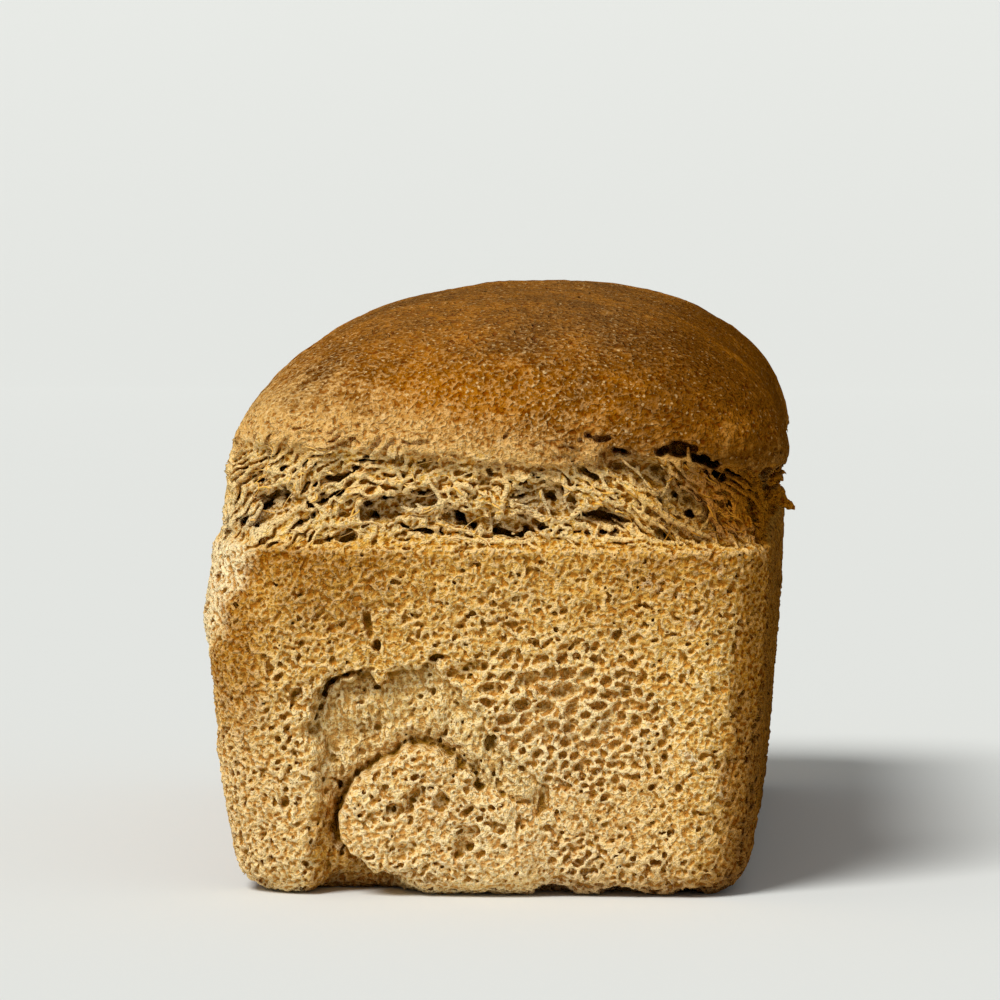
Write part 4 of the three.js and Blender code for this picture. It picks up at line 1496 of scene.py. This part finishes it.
class MESH_OT_torn_threads(bpy.types.Operator):
    """Lay fine threads of stretched dough over the torn band, and span its hollows with some"""

    bl_idname = "mesh.torn_threads"
    bl_label = "Torn threads"

    SIDES = 4
    STEP = 0.42  # millimetres between a thread's rings
    REACH = 3.0  # millimetres from a place that a thread may reach

    def execute(self, context):
        scene = context.scene
        form = Form(scene.loaf_form)
        crumb = scene.loaf_crumb
        rng = np.random.default_rng(crumb.seed + 50)
        graph = context.evaluated_depsgraph_get()
        trees = [BVHTree.FromObject(bpy.data.objects[name], graph) for name in ("torn_end", "loaf_body")]
        tubes = ([], [])
        self.spanning(form, rng, trees[0], crumb.threads // 4, tubes)
        self.clinging(form, rng, trees[0], front_points(form, 30000, rng), crumb.threads, tubes)
        self.clinging(form, rng, trees[1], skin_points(form, 200000, rng), crumb.threads // 2, tubes)
        corners = np.concatenate(tubes[0])
        mesh = mesh_of("torn_threads", corners / MM, np.concatenate(tubes[1]))
        x, y, _ = corners.T
        # Threads brown towards the right, partly as painted shade, and towards the back end.
        right = ramp(12, 44, x)
        add_number(mesh, "baked", np.maximum(right, 0.6 * ramp(-104, -96, y)))
        thing = new_object("torn_threads", mesh)
        mesh.materials.append(thread_material(scene.loaf_finish))
        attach(thing, "root")
        return {"FINISHED"}

    def clinging(self, form, rng, tree, points, count, tubes):
        """Threads that lie on the torn dough and curl along its stretch."""
        p, n = points
        torn = form.torn(*p.T) > 0.5
        p, n = p[torn][:count], n[torn][:count]
        ways = np.stack(flow(p[:, 0], p[:, 1]), 1) + 0.3 * rng.standard_normal(p.shape)
        frames = turns(n, ways)
        for place, (along, across, out) in zip(p, frames):
            bend = rng.normal(0, 0.14)
            steps = rng.integers(5, 13)
            radius = rng.uniform(0.12, 0.22)
            route = []
            angle = rng.normal(0, 0.3)
            for _ in range(steps):
                near, normal, *_ = tree.find_nearest(Vector(place / MM), self.REACH / MM)
                if near is None:
                    break
                place = np.array(near) * MM + np.array(normal) * 0.6 * radius
                if route and np.linalg.norm(place - route[-1]) < 0.1:
                    break
                route.append(place)
                angle += bend + rng.normal(0, 0.12)
                way = math.cos(angle) * along + math.sin(angle) * across
                place = route[-1] + self.STEP * way + out * 0.1
            if len(route) > 4 and np.linalg.norm(np.gradient(route, axis=0), axis=1).min() > 0.05:
                t = np.linspace(-1, 1, len(route))
                tube_into(*tubes, np.array(route), radius * (1 - 0.6 * t**4), self.SIDES)

    def spanning(self, form, rng, tree, count, tubes):
        """Threads that bridge the tears."""
        p, n = front_points(form, 40000, rng)
        torn = form.torn(*p.T) > 0.4
        p, n = p[torn], n[torn]
        p = p - n * rng.uniform(0.2, 2.2, (len(p), 1))
        frames = turns(n, np.stack(flow(p[:, 0], p[:, 1]), 1) + 0.5 * rng.standard_normal(p.shape))
        made = 0
        for place, turn in zip(p, frames):
            ends = self.span(tree, place, turn[0])
            run = np.linalg.norm(ends[1] - ends[0]) if ends else 0
            if run < 1.2:
                continue
            t = np.linspace(0, 1, 8)[:, None]
            sag = turn[1] * rng.normal(0, 0.08) + turn[2] * rng.normal(0, 0.05)
            route = ends[0] + (ends[1] - ends[0]) * t + 4 * t * (1 - t) * sag * run
            tube_into(*tubes, route, rng.uniform(0.07, 0.12) * (1 + 0.9 * (2 * t[:, 0] - 1) ** 4), self.SIDES)
            made += 1
            if made >= count:
                return

    def span(self, tree, place, way):
        """Where a line through a place in a hollow meets the dough on both sides, if it does."""
        centre = Vector(place / MM)
        near, normal, _, far = tree.find_nearest(centre)
        if near is None or far < 0.0003 or (centre - near).dot(normal) < 0:
            return None
        ends = []
        for side in (-1, 1):
            hit = tree.ray_cast(centre, Vector(way * side), self.REACH / MM)[0]
            if hit is None:
                return None
            ends.append(np.array(hit) * MM + way * side * 0.3)
        return ends


def tube_into(corners, faces, route, radii, sides):
    """Adds a closed tube along a route, with pointed ends, to lists of corners and faces."""
    start = sum(len(c) for c in corners)
    ahead = np.gradient(route, axis=0)
    ahead /= np.linalg.norm(ahead, axis=1, keepdims=True)
    aside = np.cross(ahead, [0.3, 0.5, 0.8])
    aside /= np.linalg.norm(aside, axis=1, keepdims=True)
    up = np.cross(ahead, aside)
    angle = np.linspace(0, 2 * math.pi, sides, endpoint=False)
    rings = route[:, None] + radii[:, None, None] * (
        np.cos(angle)[None, :, None] * aside[:, None] + np.sin(angle)[None, :, None] * up[:, None]
    )
    count = len(route)
    tips = [route[0] - ahead[0] * radii[0], route[-1] + ahead[-1] * radii[-1]]
    corners.append(np.concatenate([rings.reshape(-1, 3), tips]))
    ring, spoke = np.meshgrid(np.arange(count - 1), np.arange(sides), indexing="ij")
    a = ring * sides + spoke
    b = ring * sides + (spoke + 1) % sides
    halves = [np.stack(half, -1).reshape(-1, 3) for half in ((a, b, a + sides), (b, b + sides, a + sides))]
    here = np.arange(sides)
    after = (here + 1) % sides
    tip, end = count * sides, (count - 1) * sides
    first = np.stack([np.full(sides, tip), after, here], 1)
    last = np.stack([np.full(sides, tip + 1), end + here, end + after], 1)
    faces.append(np.concatenate([*halves, first, last]) + start)


class SCENE_OT_loaf_stage(bpy.types.Operator):
    """Set up the pale floor, the soft lights and the camera"""

    bl_idname = "scene.loaf_stage"
    bl_label = "Stage"

    FOCAL = 5540 / 1000  # focal length over the frame's width
    AIM = (0.00345, 0.08057)  # across and up, in the front end's plane, in metres
    NEAR, FAR, HALF_WIDTH = 8.0, 2.2, 6.0  # the level floor, from the loaf's middle, in metres
    CURVE, STEPS = 50, 24  # degrees that it bends up behind, and in how many steps

    def execute(self, context):
        scene = context.scene
        look = scene.loaf_stage_look
        floor = self.backdrop(look)
        self.key(look)
        world = bpy.data.worlds.new("studio")
        scene.world = world
        world.use_nodes = True
        sky = world.node_tree.nodes["Background"].inputs
        sky["Color"].default_value = (1, 1, 0.985, 1)
        sky["Strength"].default_value = look.fill
        self.camera(scene, look)
        scene.view_settings.view_transform = "Standard"
        return {"FINISHED"}

    def backdrop(self, look):
        """A floor that curves up far behind the loaf."""
        profile = [(-self.NEAR, 0.0), (self.FAR, 0.0)]
        for i in range(1, self.STEPS + 1):
            a = math.radians(self.CURVE) * i / self.STEPS
            profile.append((self.FAR + look.bend * math.sin(a), look.bend * (1 - math.cos(a))))
        corners = [(side * self.HALF_WIDTH, y, z) for y, z in profile for side in (-1, 1)]
        faces = [(2 * i, 2 * i + 1, 2 * i + 3, 2 * i + 2) for i in range(len(profile) - 1)]
        floor = new_object("floor", mesh_of("floor", np.array(corners), np.array(faces)))
        floor.data.materials.append(floor_material(look))
        return floor

    def key(self, look):
        """The key light: far off, broad and even, from the front left."""
        lamp = bpy.data.lights.new("key", "SUN")
        lamp.energy = look.key
        lamp.angle = look.softness
        lamp.color = (1.0, 0.985, 0.955)
        thing = new_object("key", lamp)
        level = math.cos(look.key_height)
        aside, ahead = math.sin(look.key_side) * level, math.cos(look.key_side) * level
        toward = Vector((-aside, -ahead, math.sin(look.key_height)))
        thing.rotation_euler = toward.to_track_quat("Z", "Y").to_euler()

    def camera(self, scene, look):
        lens = bpy.data.cameras.new("camera")
        lens.lens = lens.sensor_width * self.FOCAL
        lens.clip_end = 20
        thing = new_object("camera", lens)
        front = scene.loaf_form.rim_length / 2
        thing.location = (
            look.distance * math.sin(look.azimuth),
            -front - look.distance * math.cos(look.azimuth),
            look.eye,
        )
        aim = Vector((self.AIM[0], -front, self.AIM[1])) - thing.location
        thing.rotation_euler = aim.to_track_quat("-Z", "Y").to_euler()
        scene.camera = thing


class VIEW3D_PT_tin_loaf(bpy.types.Panel):
    """Lists the buttons that make the loaf, its threads and its stage, and the loaf's settings, in the
    sidebar
    """

    bl_label = "Tin Loaf"
    bl_idname = "VIEW3D_PT_tin_loaf"
    bl_space_type = "VIEW_3D"
    bl_region_type = "UI"
    bl_category = "Loaf"

    def draw(self, context):
        layout = self.layout
        for maker in MAKERS:
            layout.operator(maker.bl_idname)
        for name in SETTINGS:
            group = getattr(context.scene, name)
            box = layout.box()
            for key in group.__annotations__:
                box.prop(group, key)


MAKERS = (MESH_OT_tin_loaf, MESH_OT_torn_threads, SCENE_OT_loaf_stage)
SETTINGS = {
    "loaf_form": LoafForm,
    "loaf_crumb": LoafCrumb,
    "loaf_finish": LoafFinish,
    "loaf_stage_look": StageLook,
}
CLASSES = (*SETTINGS.values(), *MAKERS, VIEW3D_PT_tin_loaf)


def register():
    for kind in CLASSES:
        bpy.utils.register_class(kind)
    for name, kind in SETTINGS.items():
        setattr(bpy.types.Scene, name, bpy.props.PointerProperty(type=kind))


def unregister():
    for name in SETTINGS:
        delattr(bpy.types.Scene, name)
    for kind in reversed(CLASSES):
        bpy.utils.unregister_class(kind)


def main():
    register()
    bpy.ops.mesh.tin_loaf()
    bpy.ops.mesh.torn_threads()
    bpy.ops.scene.loaf_stage()


if __name__ == "__main__":
    main()
